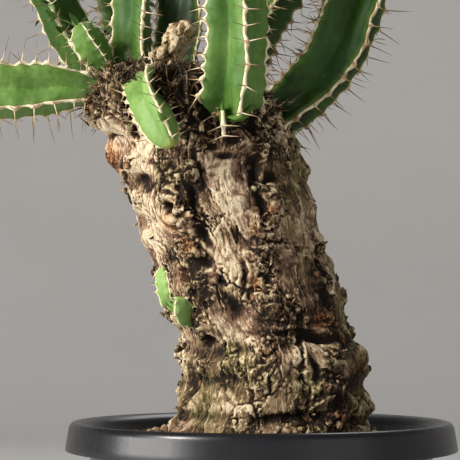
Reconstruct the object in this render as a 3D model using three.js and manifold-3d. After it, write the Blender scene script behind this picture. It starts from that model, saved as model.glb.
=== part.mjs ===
// Potted caudex euphorbia: a leaning corky trunk in a black plastic pot, with a crown of
// ribbed, horn-edged, spiny stems. Millimetres, +Z up, origin under the middle of the pot.
import * as THREE from 'three';
import { mergeVertices } from 'three/addons/utils/BufferGeometryUtils.js';
import Module from 'manifold-3d';

const wasm = await Module();
wasm.setup();

// Pot
const potHeight = 150;
const lipRadius = 90;
const lipDrop = 12.4;
const lipThickness = 2.4;
const lipCrestRadius = 86;
const lipDraft = 0.6;
const lipShoulderInset = 2;
const lipInnerFall = 5;
const wallThickness = 1.9;
const wallTopRadius = 80;
const wallBaseRadius = 58;
const potFloorTop = 5.5;
const drainGrooveHeight = 3;
const middlePadRadius = 28;
const footRingInnerRadius = 48;
const drainHoleCount = 8;
const drainHoleRadius = 4.5;
const drainHoleSides = 10;
const footNotchWidth = 8;
const footEdge = 1;
const potSides = 32;

// Soil
const soilTopAtWall = 138.5;
const soilMoundHeight = 6;
const moundFoot = 80;
const moundTop = 50;
const grainCount = 260;
const grainSpacing = 7;
const grainHeight = 3;
const soilSides = 36;
const soilRings = 12;
const soilWallGap = 0.8;
const clearance = 0.4;

// Trunk: height, middle across, middle in depth, half-width
const trunkRows = [
  [98, 2, 0, 16],
  [118, 3, 0, 30],
  [136, 3.5, 0, 42],
  [145, 3.3, 0, 46],
  [152, 4.4, 0, 44.4],
  [167, 6.5, 0, 42],
  [178, 5, 0, 41.4],
  [190, 2.1, 0, 38.5],
  [206, -3.3, 0, 40.4],
  [221, -7.9, 0, 41],
  [237, -13.8, 0, 41.6],
  [256, -18.9, 0, 42],
  [267, -21.7, 0, 41.6],
  [277, -23.6, 0, 41],
  [286, -29, 0, 43.7],
  [295, -34, 0, 46],
  [302, -40, 0, 42],
  [308, -45, 0, 34],
  [314, -49, 0, 23],
  [318, -51, 0, 9],
];
const buriedRingHeights = [98, 118, 130];
const trunkSides = 30;
const trunkRingStep = 6.6;
const barkStartsAt = 141;
const barkFadeHeight = 4;

// Scars of old side shoots stand in slanting rows up the trunk.
const scarRows = 8;
const scarRowAtMiddle = 16;
const scarRowDrift = 0.4;
const scarRowMiddleHeight = 230;
const scarSpacing = 17;
const scarRowShift = 2.4;
const scarRise = 3.2;
const scarHalfWidth = 6;

// Single lumps and hollows: bearing from the front, height, rise, half-width, half-height
const trunkLumps = [
  [-86, 274, 9, 8, 8],
  [67, 182.7, 7, 8, 9],
  [64, 269.5, 5, 7, 8],
  [-50, 268, 4, 12, 10],
  [-34, 245.4, 4.5, 12, 12],
  [-34, 245.4, -8, 5, 5],
  [27, 256.7, 3, 9, 9],
  [27, 256.7, -6, 4, 4],
  [28, 246.5, 3.5, 4, 4],
  [5, 248, 2.5, 9, 16],
  [-33, 196, 2.5, 12, 12],
  [29, 205, 2.5, 10, 12],
  [-9, 183.6, 4, 5, 5],
  [44, 186.3, 4, 6, 5],
  [38, 153.6, 4, 6, 5],
  [61, 148, 4, 9, 8],
  [-64, 149.3, 4, 9, 7],
  [140, 262, 7, 9, 9],
  [-150, 228, 6, 9, 10],
  [170, 180, 6, 9, 9],
  [112, 214, 5, 8, 9],
  [-120, 160, 4, 10, 8],
];

// Creases round the trunk: height, depth, half-height, how far they wander
const trunkCreases = [
  [185, 2.4, 3.5, 3],
  [169, 2, 2.5, 2],
  [152.5, 2.6, 3, 1.5],
  [281, 2, 3, 3],
];

// Corky stumps of old branches that stand up in the crown: points with their radius
const stumps = [
  [[-47, -12, 302, 9], [-45.5, -14, 312, 8], [-43, -14, 321, 7.5], [-38, -14, 329, 7.5], [-35.5, -14, 335, 6]],
  [[-56, 14, 300, 11], [-61, 20, 314, 9], [-64, 24, 326, 8], [-66, 26, 337, 8.5], [-66.5, 26.5, 341, 6]],
];
const stumpSides = 9;
const stumpGnarl = 0.14;

// Stems: the path of the middle, rib count, radius low and high, turn of the ribs in degrees
// from the front, twist over the whole length and distance between modelled teeth.
const stems = [
  {
    name: 'stem_left_low', ribs: 4, radiusLow: 13, radiusHigh: 14.4, turn: -44, twist: 0, pitch: 15,
    path: [[-66, -8, 300], [-79.9, -10, 303.6], [-93.6, -12, 304], [-121.6, -12, 303.5], [-140, -12, 307],
      [-156, -11, 318], [-168, -10, 336], [-175, -9, 358], [-178, -8, 380]],
  },
  {
    name: 'stem_left_rear', ribs: 3, radiusLow: 11, radiusHigh: 12, turn: -12, twist: 10, pitch: 17,
    path: [[-64, 5, 304], [-77, 10, 315], [-86.5, 12, 326], [-96.8, 14, 344], [-106, 16, 364],
      [-114, 18, 388], [-118, 20, 412]],
  },
  {
    name: 'stem_left_mid', ribs: 3, radiusLow: 9.5, radiusHigh: 11, turn: 20, twist: 15, pitch: 17,
    path: [[-57, -3, 303], [-58.5, -4, 318], [-59.8, -4, 330], [-59, -6, 348], [-60, -8, 375],
      [-63, -10, 402], [-65, -11, 424]],
  },
  {
    name: 'stem_front_main', ribs: 4, radiusLow: 13.6, radiusHigh: 13, turn: 31, twist: -50, pitch: 17,
    path: [[-18, -30, 280], [-16, -39, 287], [-13.4, -46, 296], [-11.6, -50, 309], [-11, -52, 337],
      [-8.5, -55, 370], [-6, -60, 402], [-4, -64, 428]],
  },
  {
    name: 'stem_rear_right_tall', ribs: 4, radiusLow: 13, radiusHigh: 14, turn: 10, twist: 12, pitch: 17,
    path: [[-23, 11, 290], [-19, 14, 303], [-12, 18, 321], [0, 22, 346], [13, 27, 372], [22, 31, 400],
      [27, 34, 430]],
  },
  {
    name: 'stem_right_main', ribs: 4, radiusLow: 13, radiusHigh: 16.4, turn: 38, twist: 0, pitch: 15,
    path: [[-4, -8, 284], [6, -10, 291.5], [18.3, -12, 300.5], [28.5, -14, 310.5], [36.8, -16, 324],
      [41, -17, 335], [45.2, -18, 346], [51, -18, 368], [55, -17, 392], [57, -16, 416]],
  },
  {
    name: 'stem_rear_left', ribs: 4, radiusLow: 11, radiusHigh: 12.5, turn: 20, twist: 10, pitch: 17,
    path: [[-65, 26, 333], [-67, 27.5, 344], [-71, 32, 360], [-77, 40, 384], [-82, 46, 408], [-85, 50, 432]],
  },
  {
    name: 'stem_rear_mid', ribs: 3, radiusLow: 12, radiusHigh: 14, turn: 35, twist: 10, pitch: 17,
    path: [[-42, 22, 296], [-41, 31, 310], [-40, 40, 326], [-39, 48, 350], [-40, 56, 380], [-42, 62, 412]],
  },
  {
    name: 'stem_rear_right_low', ribs: 3, radiusLow: 10.5, radiusHigh: 13, turn: 30, twist: 12, pitch: 17,
    path: [[0, 14, 282], [10, 22, 291.5], [20, 32, 302], [31, 42, 316], [40, 50, 334], [46, 56, 354],
      [52, 62, 380], [56, 66, 406]],
  },
  {
    name: 'stem_front_young', ribs: 3, radiusLow: 8.6, radiusHigh: 8.6, turn: -15, twist: 0, pitch: 10,
    path: [[-50.5, -27, 302], [-51.5, -35.5, 301.5], [-51.8, -43, 298.5], [-50.5, -49, 293.5],
      [-47.5, -53.5, 286], [-43, -56.5, 277], [-38, -58, 268.5]],
  },
];
const neckRadius = 6.2;
const neckLength = 8;
const flareLength = 12;
const flareRings = [neckLength - 2, neckLength + 3, neckLength + 7.5];
const firstTooth = neckLength + flareLength + 1;
const fullGirthFrom = 15;
const fullGirthTo = 65;
const tipTaperLength = 22;
const tipRadiusShare = 0.62;
const shoulderFromTip = 5;
const topFromTip = 2;
const topCrestShare = 0.5;
const topValleyShare = 0.6;
const neckValleyShare = 0.96;
const valleyShares = { 3: 0.34, 4: 0.42 };
const crestHalfWidth = 1.4;
const socketRings = [33, 46];

// Horny margins and spines
const marginGap = 0.35;
const marginHalfWidth = 1.2;
const marginRise = 0.9;
const marginEndSize = 0.7;
const marginTopRise = 1.5;
const marginOverlap = 0.2;
const marginRoom = 0.9;
const toothRise = 2.6;
const toothHalfLength = 0.8;
const toothFoot = 2.8;
const spineLength = 8.6;
const spineSpread = THREE.MathUtils.degToRad(48);
const spineClearance = 1.6;
const spineToSpine = 2.4;
const spineShares = [0.1, 0.3, 0.5, 0.75, 1];
const slimStemRadius = 11;
const crownSphereStep = 4;

// Short shoots, each one body: path, rib count and radius
const shoots = [
  {
    name: 'shoot_bulb', ribs: 4, radius: 7.4, neck: 3, turn: 10,
    path: [[-68, -7, 310], [-74, -10, 318], [-80, -13, 326], [-84.5, -14, 335]],
  },
  {
    name: 'sprout_upper', ribs: 3, radius: 4.2, neck: 2.4, turn: 20,
    path: [[-36, -8, 203], [-42, -13, 205.5], [-43.5, -15, 212], [-45, -15.5, 221]],
  },
  {
    name: 'sprout_lower', ribs: 3, radius: 4.8, neck: 2.4, turn: -30,
    path: [[-28, -18, 194], [-34, -24.5, 196.5], [-36, -29, 200], [-37, -32, 206]],
  },
];
const shootToothPitch = 5.5;
const shootToothRise = 1.5;
const shootValleyShare = 0.78;

const colours = {
  pot: 0x24262b,
  soil: 0x6d5a45,
  trunk: 0x93795a,
  stem: 0x4c8a3c,
  young: 0x86b95c,
  margin: 0xcdb98c,
};

// Repeatable random numbers between 0 and 1
function seededRandom(seed) {
  let state = seed;
  return () => {
    state = (state * 1664525 + 1013904223) % 4294967296;
    return state / 4294967296;
  };
}

function smoothStep(low, high, value) {
  return THREE.MathUtils.smoothstep(value, low, high);
}

// Closed geometry with position alone and its shared vertices merged
function closedGeometry(geometry) {
  geometry.deleteAttribute('normal');
  geometry.deleteAttribute('uv');
  return mergeVertices(geometry, 1e-4);
}

function toSolid(geometry) {
  return new wasm.Manifold(new wasm.Mesh({
    numProp: 3,
    vertProperties: new Float32Array(geometry.attributes.position.array),
    triVerts: new Uint32Array(geometry.index.array),
  }));
}

// The largest piece of a solid, so that a cut leaves no loose scrap behind
function toGeometry(solid) {
  const pieces = solid.decompose();
  pieces.sort((one, other) => other.volume() - one.volume());
  const mesh = pieces[0].getMesh();
  const geometry = new THREE.BufferGeometry();
  geometry.setAttribute('position', new THREE.BufferAttribute(mesh.vertProperties, 3));
  geometry.setIndex(new THREE.BufferAttribute(mesh.triVerts, 1));
  return geometry;
}

function cut(solid, tools) {
  return tools.reduce((rest, tool) => rest.subtract(tool), solid);
}

function join(solids) {
  return solids.reduce((whole, solid) => whole.add(solid));
}

// A cylinder whose every point is placed again: place(ring, side, reach), where reach is 0 in
// the middle of an end and 1 on the outside. Sides run anticlockwise about the rising axis.
function placedCylinder(sides, rings, place) {
  const geometry = new THREE.CylinderGeometry(1, 1, 1, sides, rings);
  const position = geometry.attributes.position;
  const point = new THREE.Vector3();
  for (let index = 0; index < position.count; index += 1) {
    point.fromBufferAttribute(position, index);
    const reach = Math.hypot(point.x, point.z) > 0.5 ? 1 : 0;
    const turn = Math.atan2(point.x, point.z) / (2 * Math.PI);
    const side = (Math.round(turn * sides) + sides) % sides;
    const ring = Math.round((point.y + 0.5) * rings);
    const placed = place(ring, side, reach);
    position.setXYZ(index, placed.x, placed.y, placed.z);
  }
  return closedGeometry(geometry);
}

// Smooth values between rows whose first column rises
function rowAt(rows, at) {
  let index = rows.length - 2;
  while (index > 0 && rows[index][0] > at) index -= 1;
  const span = rows[index + 1][0] - rows[index][0];
  const share = THREE.MathUtils.clamp((at - rows[index][0]) / span, 0, 1);
  const slope = (row, column) => {
    const before = rows[Math.max(row - 1, 0)];
    const after = rows[Math.min(row + 1, rows.length - 1)];
    return (after[column] - before[column]) / (after[0] - before[0]);
  };
  return rows[index].map((low, column) => {
    const high = rows[index + 1][column];
    const square = share * share;
    const cube = square * share;
    return (2 * cube - 3 * square + 1) * low
      + (cube - 2 * square + share) * span * slope(index, column)
      + (3 * square - 2 * cube) * high
      + (cube - square) * span * slope(index + 1, column);
  });
}

// How far the bark stands out from the smooth trunk at a bearing and height
function barkRelief(bearing, height, halfWidth) {
  const bell = (offset, width) => Math.exp(-((offset / width) ** 2));
  const wrap = (angle) => Math.atan2(Math.sin(angle), Math.cos(angle));
  let relief = 0;
  for (let row = 0; row < scarRows; row += 1) {
    const middle = scarRowAtMiddle + (row * 360) / scarRows + scarRowDrift * (height - scarRowMiddleHeight);
    const across = wrap(bearing - THREE.MathUtils.degToRad(middle)) * halfWidth;
    const beat = 0.5 + 0.5 * Math.cos((2 * Math.PI * height) / scarSpacing + row * scarRowShift);
    relief += scarRise * bell(across, scarHalfWidth) * beat;
  }
  for (const [degrees, level, rise, width, tall] of trunkLumps) {
    const across = wrap(bearing - THREE.MathUtils.degToRad(degrees)) * halfWidth;
    relief += rise * bell(across, width) * bell(height - level, tall);
  }
  trunkCreases.forEach(([level, depth, tall, wander], index) => {
    const centre = level + wander * Math.sin(2 * bearing + 1.7 * index);
    relief -= depth * bell(height - centre, tall);
  });
  return relief * smoothStep(barkStartsAt - barkFadeHeight, barkStartsAt + barkFadeHeight, height);
}

function trunkPoint(bearing, height, grow) {
  const [, middleX, middleY, halfWidth] = rowAt(trunkRows, height);
  const radius = halfWidth + barkRelief(bearing, height, halfWidth) + grow;
  return new THREE.Vector3(
    middleX + radius * Math.sin(bearing),
    middleY - radius * Math.cos(bearing),
    height,
  );
}

function trunkHeights() {
  const [top] = trunkRows[trunkRows.length - 1];
  const heights = [...buriedRingHeights];
  const count = Math.round((top - barkStartsAt) / trunkRingStep);
  for (let ring = 0; ring <= count; ring += 1) {
    heights.push(barkStartsAt + ((top - barkStartsAt) * ring) / count);
  }
  return heights;
}

// The trunk grown outwards by a margin, which is also the shape of its hole in the soil
function trunkGeometry(grow) {
  const heights = trunkHeights();
  return placedCylinder(trunkSides, heights.length - 1, (ring, side, reach) => {
    const height = heights[ring];
    const lowered = ring === 0 ? height - grow : height;
    const bearing = (2 * Math.PI * side) / trunkSides;
    const [, middleX, middleY] = rowAt(trunkRows, height);
    const middle = new THREE.Vector3(middleX, middleY, lowered);
    return reach ? trunkPoint(bearing, height, grow).setZ(lowered) : middle;
  });
}

// A gnarled old stump along its points, each with a radius
function stumpGeometry(points) {
  return placedCylinder(stumpSides, points.length - 1, (ring, side, reach) => {
    const [x, y, z, radius] = points[ring];
    const angle = (2 * Math.PI * side) / stumpSides;
    const gnarl = 1 + stumpGnarl * Math.sin(3 * angle + 2.1 * ring);
    return new THREE.Vector3(
      x + reach * gnarl * radius * Math.sin(angle),
      y - reach * gnarl * radius * Math.cos(angle),
      z,
    );
  });
}

function curveOf(path) {
  const points = path.map(([x, y, z]) => new THREE.Vector3(x, y, z));
  const curve = new THREE.CatmullRomCurve3(points, false, 'catmullrom', 0.5);
  curve.arcLengthDivisions = 400;
  return curve;
}

// Middle and cross directions of a stem at a distance along it, first direction to the front
function frameAt(curve, distance) {
  const length = curve.getLength();
  const share = THREE.MathUtils.clamp(distance / length, 0, 1);
  const along = curve.getTangentAt(share);
  const middle = curve.getPointAt(share).addScaledVector(along, distance - share * length);
  const front = new THREE.Vector3(0, -1, 0);
  front.addScaledVector(along, -front.dot(along)).normalize();
  const side = new THREE.Vector3().crossVectors(along, front);
  return { middle, along, front, side };
}

function turned(frame, angle) {
  return frame.front.clone().multiplyScalar(Math.cos(angle)).addScaledVector(frame.side, Math.sin(angle));
}

// Radius over the ribs and share of it left in the valleys
function stemGirth(stem, length, distance) {
  const flare = smoothStep(neckLength, neckLength + flareLength, distance);
  const grown = smoothStep(fullGirthFrom, fullGirthTo, distance);
  const full = THREE.MathUtils.lerp(stem.radiusLow, stem.radiusHigh, grown);
  const fromTip = THREE.MathUtils.clamp((length - distance) / tipTaperLength, 0, 1);
  const taper = THREE.MathUtils.lerp(tipRadiusShare, 1, Math.sin((fromTip * Math.PI) / 2));
  const radius = THREE.MathUtils.lerp(neckRadius, full * taper, flare);
  const valley = THREE.MathUtils.lerp(neckValleyShare, valleyShares[stem.ribs], flare);
  return { radius, valley };
}

// Distances of the rings of a stem: neck, flare, one for each tooth, and the rounded tip
function stemDistances(stem, length) {
  const distances = [0, ...flareRings];
  const lastTooth = length - shoulderFromTip - 2;
  for (let tooth = firstTooth; tooth <= lastTooth; tooth += stem.pitch) distances.push(tooth);
  return [...distances, length - shoulderFromTip, length - topFromTip];
}

// The two corners and the middle of a rib's crest on one ring
function crestAt(stem, curve, distance, rib, grow) {
  const length = curve.getLength();
  const frame = frameAt(curve, distance);
  const { radius } = stemGirth(stem, length, distance);
  const shrink = distance > length - topFromTip - 1 ? topCrestShare : 1;
  const twist = (stem.twist * distance) / length;
  const angle = THREE.MathUtils.degToRad(stem.turn + twist + (rib * 360) / stem.ribs);
  const outward = turned(frame, angle);
  const across = turned(frame, angle + Math.PI / 2);
  const halfWidth = Math.min(crestHalfWidth, radius * 0.25) + grow.width;
  const crest = frame.middle.clone().addScaledVector(outward, radius * shrink + grow.crest);
  return { crest, outward, across, halfWidth };
}

// The green body of a stem, or with grow the space that it and its margins need
function stemGeometry(stem, distances, grow) {
  const curve = curveOf(stem.path);
  const length = curve.getLength();
  return placedCylinder(stem.ribs * 3, distances.length - 1, (ring, side, reach) => {
    const distance = distances[ring];
    const frame = frameAt(curve, distance);
    if (!reach) return frame.middle;
    const corner = (side + 1) % (stem.ribs * 3);
    const rib = Math.floor(corner / 3);
    const place = corner % 3;
    const { crest, across, halfWidth } = crestAt(stem, curve, distance, rib, grow);
    if (place < 2) return crest.addScaledVector(across, place === 0 ? -halfWidth : halfWidth);
    const { radius, valley } = stemGirth(stem, length, distance);
    const shrink = distance > length - topFromTip - 1 ? topValleyShare : 1;
    const twist = (stem.twist * distance) / length;
    const angle = THREE.MathUtils.degToRad(stem.turn + twist + ((rib + 0.5) * 360) / stem.ribs);
    const depth = radius * valley * shrink + grow.valley;
    return frame.middle.clone().addScaledVector(turned(frame, angle), depth);
  });
}

const noGrowth = { crest: 0, valley: 0, width: 0 };
const roomForNeck = { crest: clearance, valley: clearance, width: clearance };
const roomForMargins = {
  crest: toothRise + marginGap + marginRoom,
  valley: 2 * clearance,
  width: marginRoom,
};

// The space a stem takes where it leaves the trunk, a little more than the stem itself
function stemSocket(stem) {
  const [neckTop, marginStart, flareMiddle] = flareRings;
  const neck = stemGeometry(stem, [-0.5, neckTop, marginStart], roomForNeck);
  const aboveRings = [neckTop + 1, marginStart, flareMiddle, firstTooth, ...socketRings];
  const above = stemGeometry(stem, aboveRings, roomForMargins);
  return join([toSolid(neck), toSolid(above)]);
}

// Places along one rib's crest, on the straight stretches between the body's rings
function crestLine(stem, distances, rib) {
  const curve = curveOf(stem.path);
  const knots = distances.map((distance) => crestAt(stem, curve, distance, rib, noGrowth));
  return (distance) => {
    let index = distances.length - 2;
    while (index > 0 && distances[index] > distance) index -= 1;
    const low = knots[index];
    const high = knots[index + 1];
    const share = (distance - distances[index]) / (distances[index + 1] - distances[index]);
    const point = low.crest.clone().lerp(high.crest, share);
    const along = high.crest.clone().sub(low.crest).normalize();
    const outward = low.outward.clone().lerp(high.outward, share);
    outward.addScaledVector(along, -outward.dot(along)).normalize();
    const across = new THREE.Vector3().crossVectors(along, outward);
    return { point, along, outward, across };
  };
}

function sectionOf(place, rise, halfWidth) {
  const base = place.point.clone().addScaledVector(place.outward, marginGap);
  return {
    left: base.clone().addScaledVector(place.across, -halfWidth),
    right: base.clone().addScaledVector(place.across, halfWidth),
    crest: base.clone().addScaledVector(place.outward, rise),
    place,
  };
}

// Sections of one margin from its lower end to past the stem's tip, with each tooth marked
function marginSections(stem, distances, rib) {
  const curve = curveOf(stem.path);
  const length = curve.getLength();
  const line = crestLine(stem, distances, rib);
  const [, marginStart, flareMiddle] = flareRings;
  const start = sectionOf(line(marginStart + 0.01), marginEndSize, marginEndSize);
  const sections = [start, kneeSection(line, flareMiddle)];
  const shoulder = length - shoulderFromTip;
  const teeth = distances.filter((distance) => distance >= firstTooth && distance < shoulder - 1);
  teeth.forEach((tooth, index) => {
    const before = index ? (tooth + teeth[index - 1]) / 2 : tooth - toothFoot;
    sections.push(sectionOf(line(before), marginRise, marginHalfWidth));
    const low = sectionOf(line(tooth - toothHalfLength), toothRise, marginHalfWidth);
    low.tooth = true;
    sections.push(low);
    sections.push(sectionOf(line(tooth + toothHalfLength), toothRise, marginHalfWidth));
  });
  sections.push(kneeSection(line, shoulder));
  const last = kneeSection(line, length - topFromTip);
  sections.push(last, tipSection(curve, last));
  return sections;
}

// A section at a bend of the crest, moved out so that both stretches keep their gap
function kneeSection(line, distance) {
  const before = line(distance - 0.01);
  const after = line(distance + 0.01);
  const outward = before.outward.clone().add(after.outward).normalize();
  const stretch = 1 / outward.dot(before.outward);
  const across = new THREE.Vector3().crossVectors(before.along, before.outward);
  const place = { point: before.point, along: before.along, outward, across };
  place.point.addScaledVector(outward, marginGap * (stretch - 1));
  return sectionOf(place, marginRise, marginHalfWidth);
}

// A section above the flat tip, just past the axis, where the margins run together
function tipSection(curve, last) {
  const length = curve.getLength();
  const frame = frameAt(curve, length - topFromTip + marginGap);
  const outward = last.place.outward.clone();
  outward.addScaledVector(frame.along, -outward.dot(frame.along)).normalize();
  const reach = outward.dot(last.crest.clone().sub(frame.middle));
  const base = frame.middle.clone().addScaledVector(outward, -marginOverlap * reach);
  const across = new THREE.Vector3().crossVectors(frame.along, outward);
  return {
    left: base.clone().addScaledVector(across, -marginHalfWidth),
    right: base.clone().addScaledVector(across, marginHalfWidth),
    crest: base.clone().addScaledVector(frame.along, marginTopRise),
    place: last.place,
  };
}

// Nearest distance between points on a short segment and a list of points with radii
function nearestSurface(start, end, spheres) {
  let nearest = Infinity;
  for (const share of spineShares) {
    const point = start.clone().lerp(end, share);
    for (const sphere of spheres) {
      nearest = Math.min(nearest, point.distanceTo(sphere.middle) - sphere.radius);
    }
  }
  return nearest;
}

function insideTrunk(point) {
  const [bottom] = trunkRows[0];
  const [top] = trunkRows[trunkRows.length - 1];
  if (point.z < bottom || point.z > top + spineClearance) return false;
  const height = Math.min(point.z, top);
  const [, middleX, middleY, halfWidth] = rowAt(trunkRows, height);
  const bearing = Math.atan2(point.x - middleX, middleY - point.y);
  const radius = halfWidth + barkRelief(bearing, height, halfWidth) + spineClearance;
  return Math.hypot(point.x - middleX, point.y - middleY) < radius;
}

function spheresAlong(owner, path, radiusAt) {
  const curve = curveOf(path);
  const length = curve.getLength();
  const spheres = [];
  for (let distance = 0; distance <= length + 2; distance += crownSphereStep) {
    const share = Math.min(distance / length, 1);
    spheres.push({ owner, middle: curve.getPointAt(share), radius: radiusAt(distance, length) });
  }
  return spheres;
}

// Everything in the crown that a spine must miss, as rows of spheres
function crownSpheres() {
  const ofStems = stems.map((stem) => spheresAlong(
    stem.name,
    stem.path,
    (distance, length) => stemGirth(stem, length, distance).radius + toothRise,
  ));
  const ofShoots = shoots.map((shoot) => spheresAlong(shoot.name, shoot.path, () => shoot.radius + 1));
  const ofStumps = stumps.map((points, index) => points.map(([x, y, z, radius]) => (
    { owner: `stump_${index}`, middle: new THREE.Vector3(x, y, z), radius: radius * 1.15 }
  )));
  return [...ofStems, ...ofShoots, ...ofStumps].flat();
}

const crown = crownSpheres();
const grownSpines = [];

// Whether a spine misses the trunk, the other stems and the spines of other stems
function spineIsClear(owner, root, tip) {
  if (spineShares.some((share) => insideTrunk(root.clone().lerp(tip, share)))) return false;
  const others = crown.filter((sphere) => sphere.owner !== owner);
  if (nearestSurface(root, tip, others) < spineClearance) return false;
  return grownSpines.every((spine) => {
    if (spine.owner === owner || spine.tip.distanceTo(tip) > 3 * spineLength) return true;
    return spineShares.every((share) => {
      const point = root.clone().lerp(tip, share);
      return spineShares.every((other) => (
        point.distanceTo(spine.root.clone().lerp(spine.tip, other)) > spineToSpine
      ));
    });
  });
}

// One margin with its pairs of spines: a three-sided strip whose side faces are drawn out to
// a point at each tooth where the spine has room
function marginGeometry(stem, sections, random) {
  const positions = [];
  const triangles = [];
  const add = (point) => {
    positions.push(point.x, point.y, point.z);
    return positions.length / 3 - 1;
  };
  const rings = sections.map(({ left, crest, right }) => [add(left), add(crest), add(right)]);
  const quad = (a, b, c, d) => triangles.push(a, b, c, a, c, d);
  const spike = (corners, tip) => {
    const point = add(tip);
    corners.forEach((corner, index) => triangles.push(corner, corners[(index + 1) % 4], point));
  };
  for (let index = 0; index < rings.length - 1; index += 1) {
    const [left, crest, right] = rings[index];
    const [nextLeft, nextCrest, nextRight] = rings[index + 1];
    const faces = [
      { corners: [left, crest, nextCrest, nextLeft], side: -1 },
      { corners: [crest, right, nextRight, nextCrest], side: 1 },
    ];
    for (const { corners, side } of faces) {
      const { place } = sections[index];
      const root = sections[index].crest.clone().lerp(sections[index].left, 0.3);
      const spread = spineSpread + 0.3 * (random() - 0.5);
      const lean = 0.5 * (random() - 0.6);
      const reach = spineLength * (0.8 + 0.4 * random()) * Math.min(1, stem.radiusHigh / slimStemRadius);
      const direction = place.outward.clone().multiplyScalar(Math.cos(spread));
      direction.addScaledVector(place.across, side * Math.sin(spread)).addScaledVector(place.along, lean);
      const tip = root.clone().addScaledVector(direction.normalize(), reach);
      if (sections[index].tooth && spineIsClear(stem.name, root, tip)) {
        grownSpines.push({ owner: stem.name, root, tip });
        spike(corners, tip);
      } else {
        quad(...corners);
      }
    }
    quad(right, left, nextLeft, nextRight);
  }
  triangles.push(...rings[0].slice().reverse());
  triangles.push(...rings[rings.length - 1]);
  const geometry = new THREE.BufferGeometry();
  geometry.setAttribute('position', new THREE.Float32BufferAttribute(positions, 3));
  geometry.setIndex(triangles);
  return geometry;
}

// All margins of a stem, which run together over its tip
function marginsSolid(stem, distances, random) {
  const strips = [];
  for (let rib = 0; rib < stem.ribs; rib += 1) {
    strips.push(toSolid(marginGeometry(stem, marginSections(stem, distances, rib), random)));
  }
  return join(strips);
}

// A short shoot or sprout: ribs with small teeth, on a thin neck
function shootGeometry(shoot, grow) {
  const curve = curveOf(shoot.path);
  const length = curve.getLength();
  const rings = 2 * Math.round(length / shootToothPitch);
  return placedCylinder(shoot.ribs * 2, rings, (ring, side, reach) => {
    const share = ring / rings;
    const distance = share * length + (ring === 0 ? -grow : 0) + (ring === rings ? grow : 0);
    const frame = frameAt(curve, distance);
    if (!reach) return frame.middle;
    const bulge = Math.sin(Math.PI * THREE.MathUtils.clamp((share - 0.2) / 0.84, 0, 1)) ** 0.7;
    const body = THREE.MathUtils.lerp(shoot.neck, shoot.radius, bulge) * (share > 0.97 ? 0.5 : 1);
    const onRib = side % 2 === 0;
    const tooth = ring % 2 === 0 && share > 0.3 && share < 0.95 ? shootToothRise : 0;
    const radius = onRib ? body + tooth * (shoot.radius / 8) ** 0.3 : body * shootValleyShare;
    const angle = THREE.MathUtils.degToRad(shoot.turn) + (Math.PI * side) / shoot.ribs;
    return frame.middle.clone().addScaledVector(turned(frame, angle), radius + grow);
  });
}

function trunkSolid() {
  const whole = join([toSolid(trunkGeometry(0)), ...stumps.map((points) => toSolid(stumpGeometry(points)))]);
  const sockets = stems.map(stemSocket);
  const shootSockets = shoots.map((shoot) => toSolid(shootGeometry(shoot, clearance)));
  return cut(whole, [...sockets, ...shootSockets]);
}

// Inside radius of the pot's wall at a height
function wallInside(height) {
  const outside = THREE.MathUtils.mapLinear(height, 0, potHeight - lipDrop, wallBaseRadius, wallTopRadius);
  return outside - wallThickness;
}

// Lathe about +Z from a profile that starts low on the axis and ends high on it
function turnedSolid(profile, sides) {
  const points = profile.map(([radius, height]) => new THREE.Vector2(radius, height));
  const geometry = closedGeometry(new THREE.LatheGeometry(points, sides));
  geometry.rotateX(Math.PI / 2);
  return geometry;
}

function drainHole(index) {
  const hole = new THREE.CylinderGeometry(drainHoleRadius, drainHoleRadius, 4 * potFloorTop, drainHoleSides);
  hole.rotateX(Math.PI / 2);
  const angle = ((index + 0.5) * 2 * Math.PI) / drainHoleCount;
  const radius = (middlePadRadius + footRingInnerRadius) / 2;
  hole.translate(radius * Math.cos(angle), radius * Math.sin(angle), 0);
  return toSolid(closedGeometry(hole));
}

function footNotch(index) {
  const notch = new THREE.BoxGeometry(2 * (wallBaseRadius - footRingInnerRadius) + 4, footNotchWidth,
    2 * drainGrooveHeight);
  notch.translate(wallBaseRadius, 0, 0);
  notch.rotateZ((index * 2 * Math.PI) / drainHoleCount);
  return toSolid(closedGeometry(notch));
}

function potSolid() {
  const wallTop = potHeight - lipDrop;
  const profile = [
    [0, 0],
    [middlePadRadius, 0],
    [middlePadRadius, drainGrooveHeight],
    [footRingInnerRadius, drainGrooveHeight],
    [footRingInnerRadius, 0],
    [wallBaseRadius - footEdge, 0],
    [wallBaseRadius, footEdge],
    [wallTopRadius, potHeight - 1.5 * lipInnerFall],
    [lipCrestRadius - lipThickness, potHeight - lipThickness - lipDraft],
    [lipRadius - lipThickness - lipDraft, potHeight - lipThickness - lipShoulderInset],
    [lipRadius - lipThickness, wallTop],
    [lipRadius, wallTop],
    [lipRadius - lipDraft, potHeight - 2 * lipShoulderInset],
    [lipRadius - lipShoulderInset, potHeight - lipShoulderInset / 2],
    [lipCrestRadius, potHeight],
    [lipCrestRadius - lipThickness, potHeight - lipShoulderInset / 2],
    [wallInside(potHeight - lipInnerFall), potHeight - lipInnerFall],
    [wallInside(potFloorTop), potFloorTop],
    [0, potFloorTop],
  ];
  const holes = [];
  for (let index = 0; index < drainHoleCount; index += 1) holes.push(drainHole(index), footNotch(index));
  return cut(toSolid(turnedSolid(profile, potSides)), holes);
}

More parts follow.
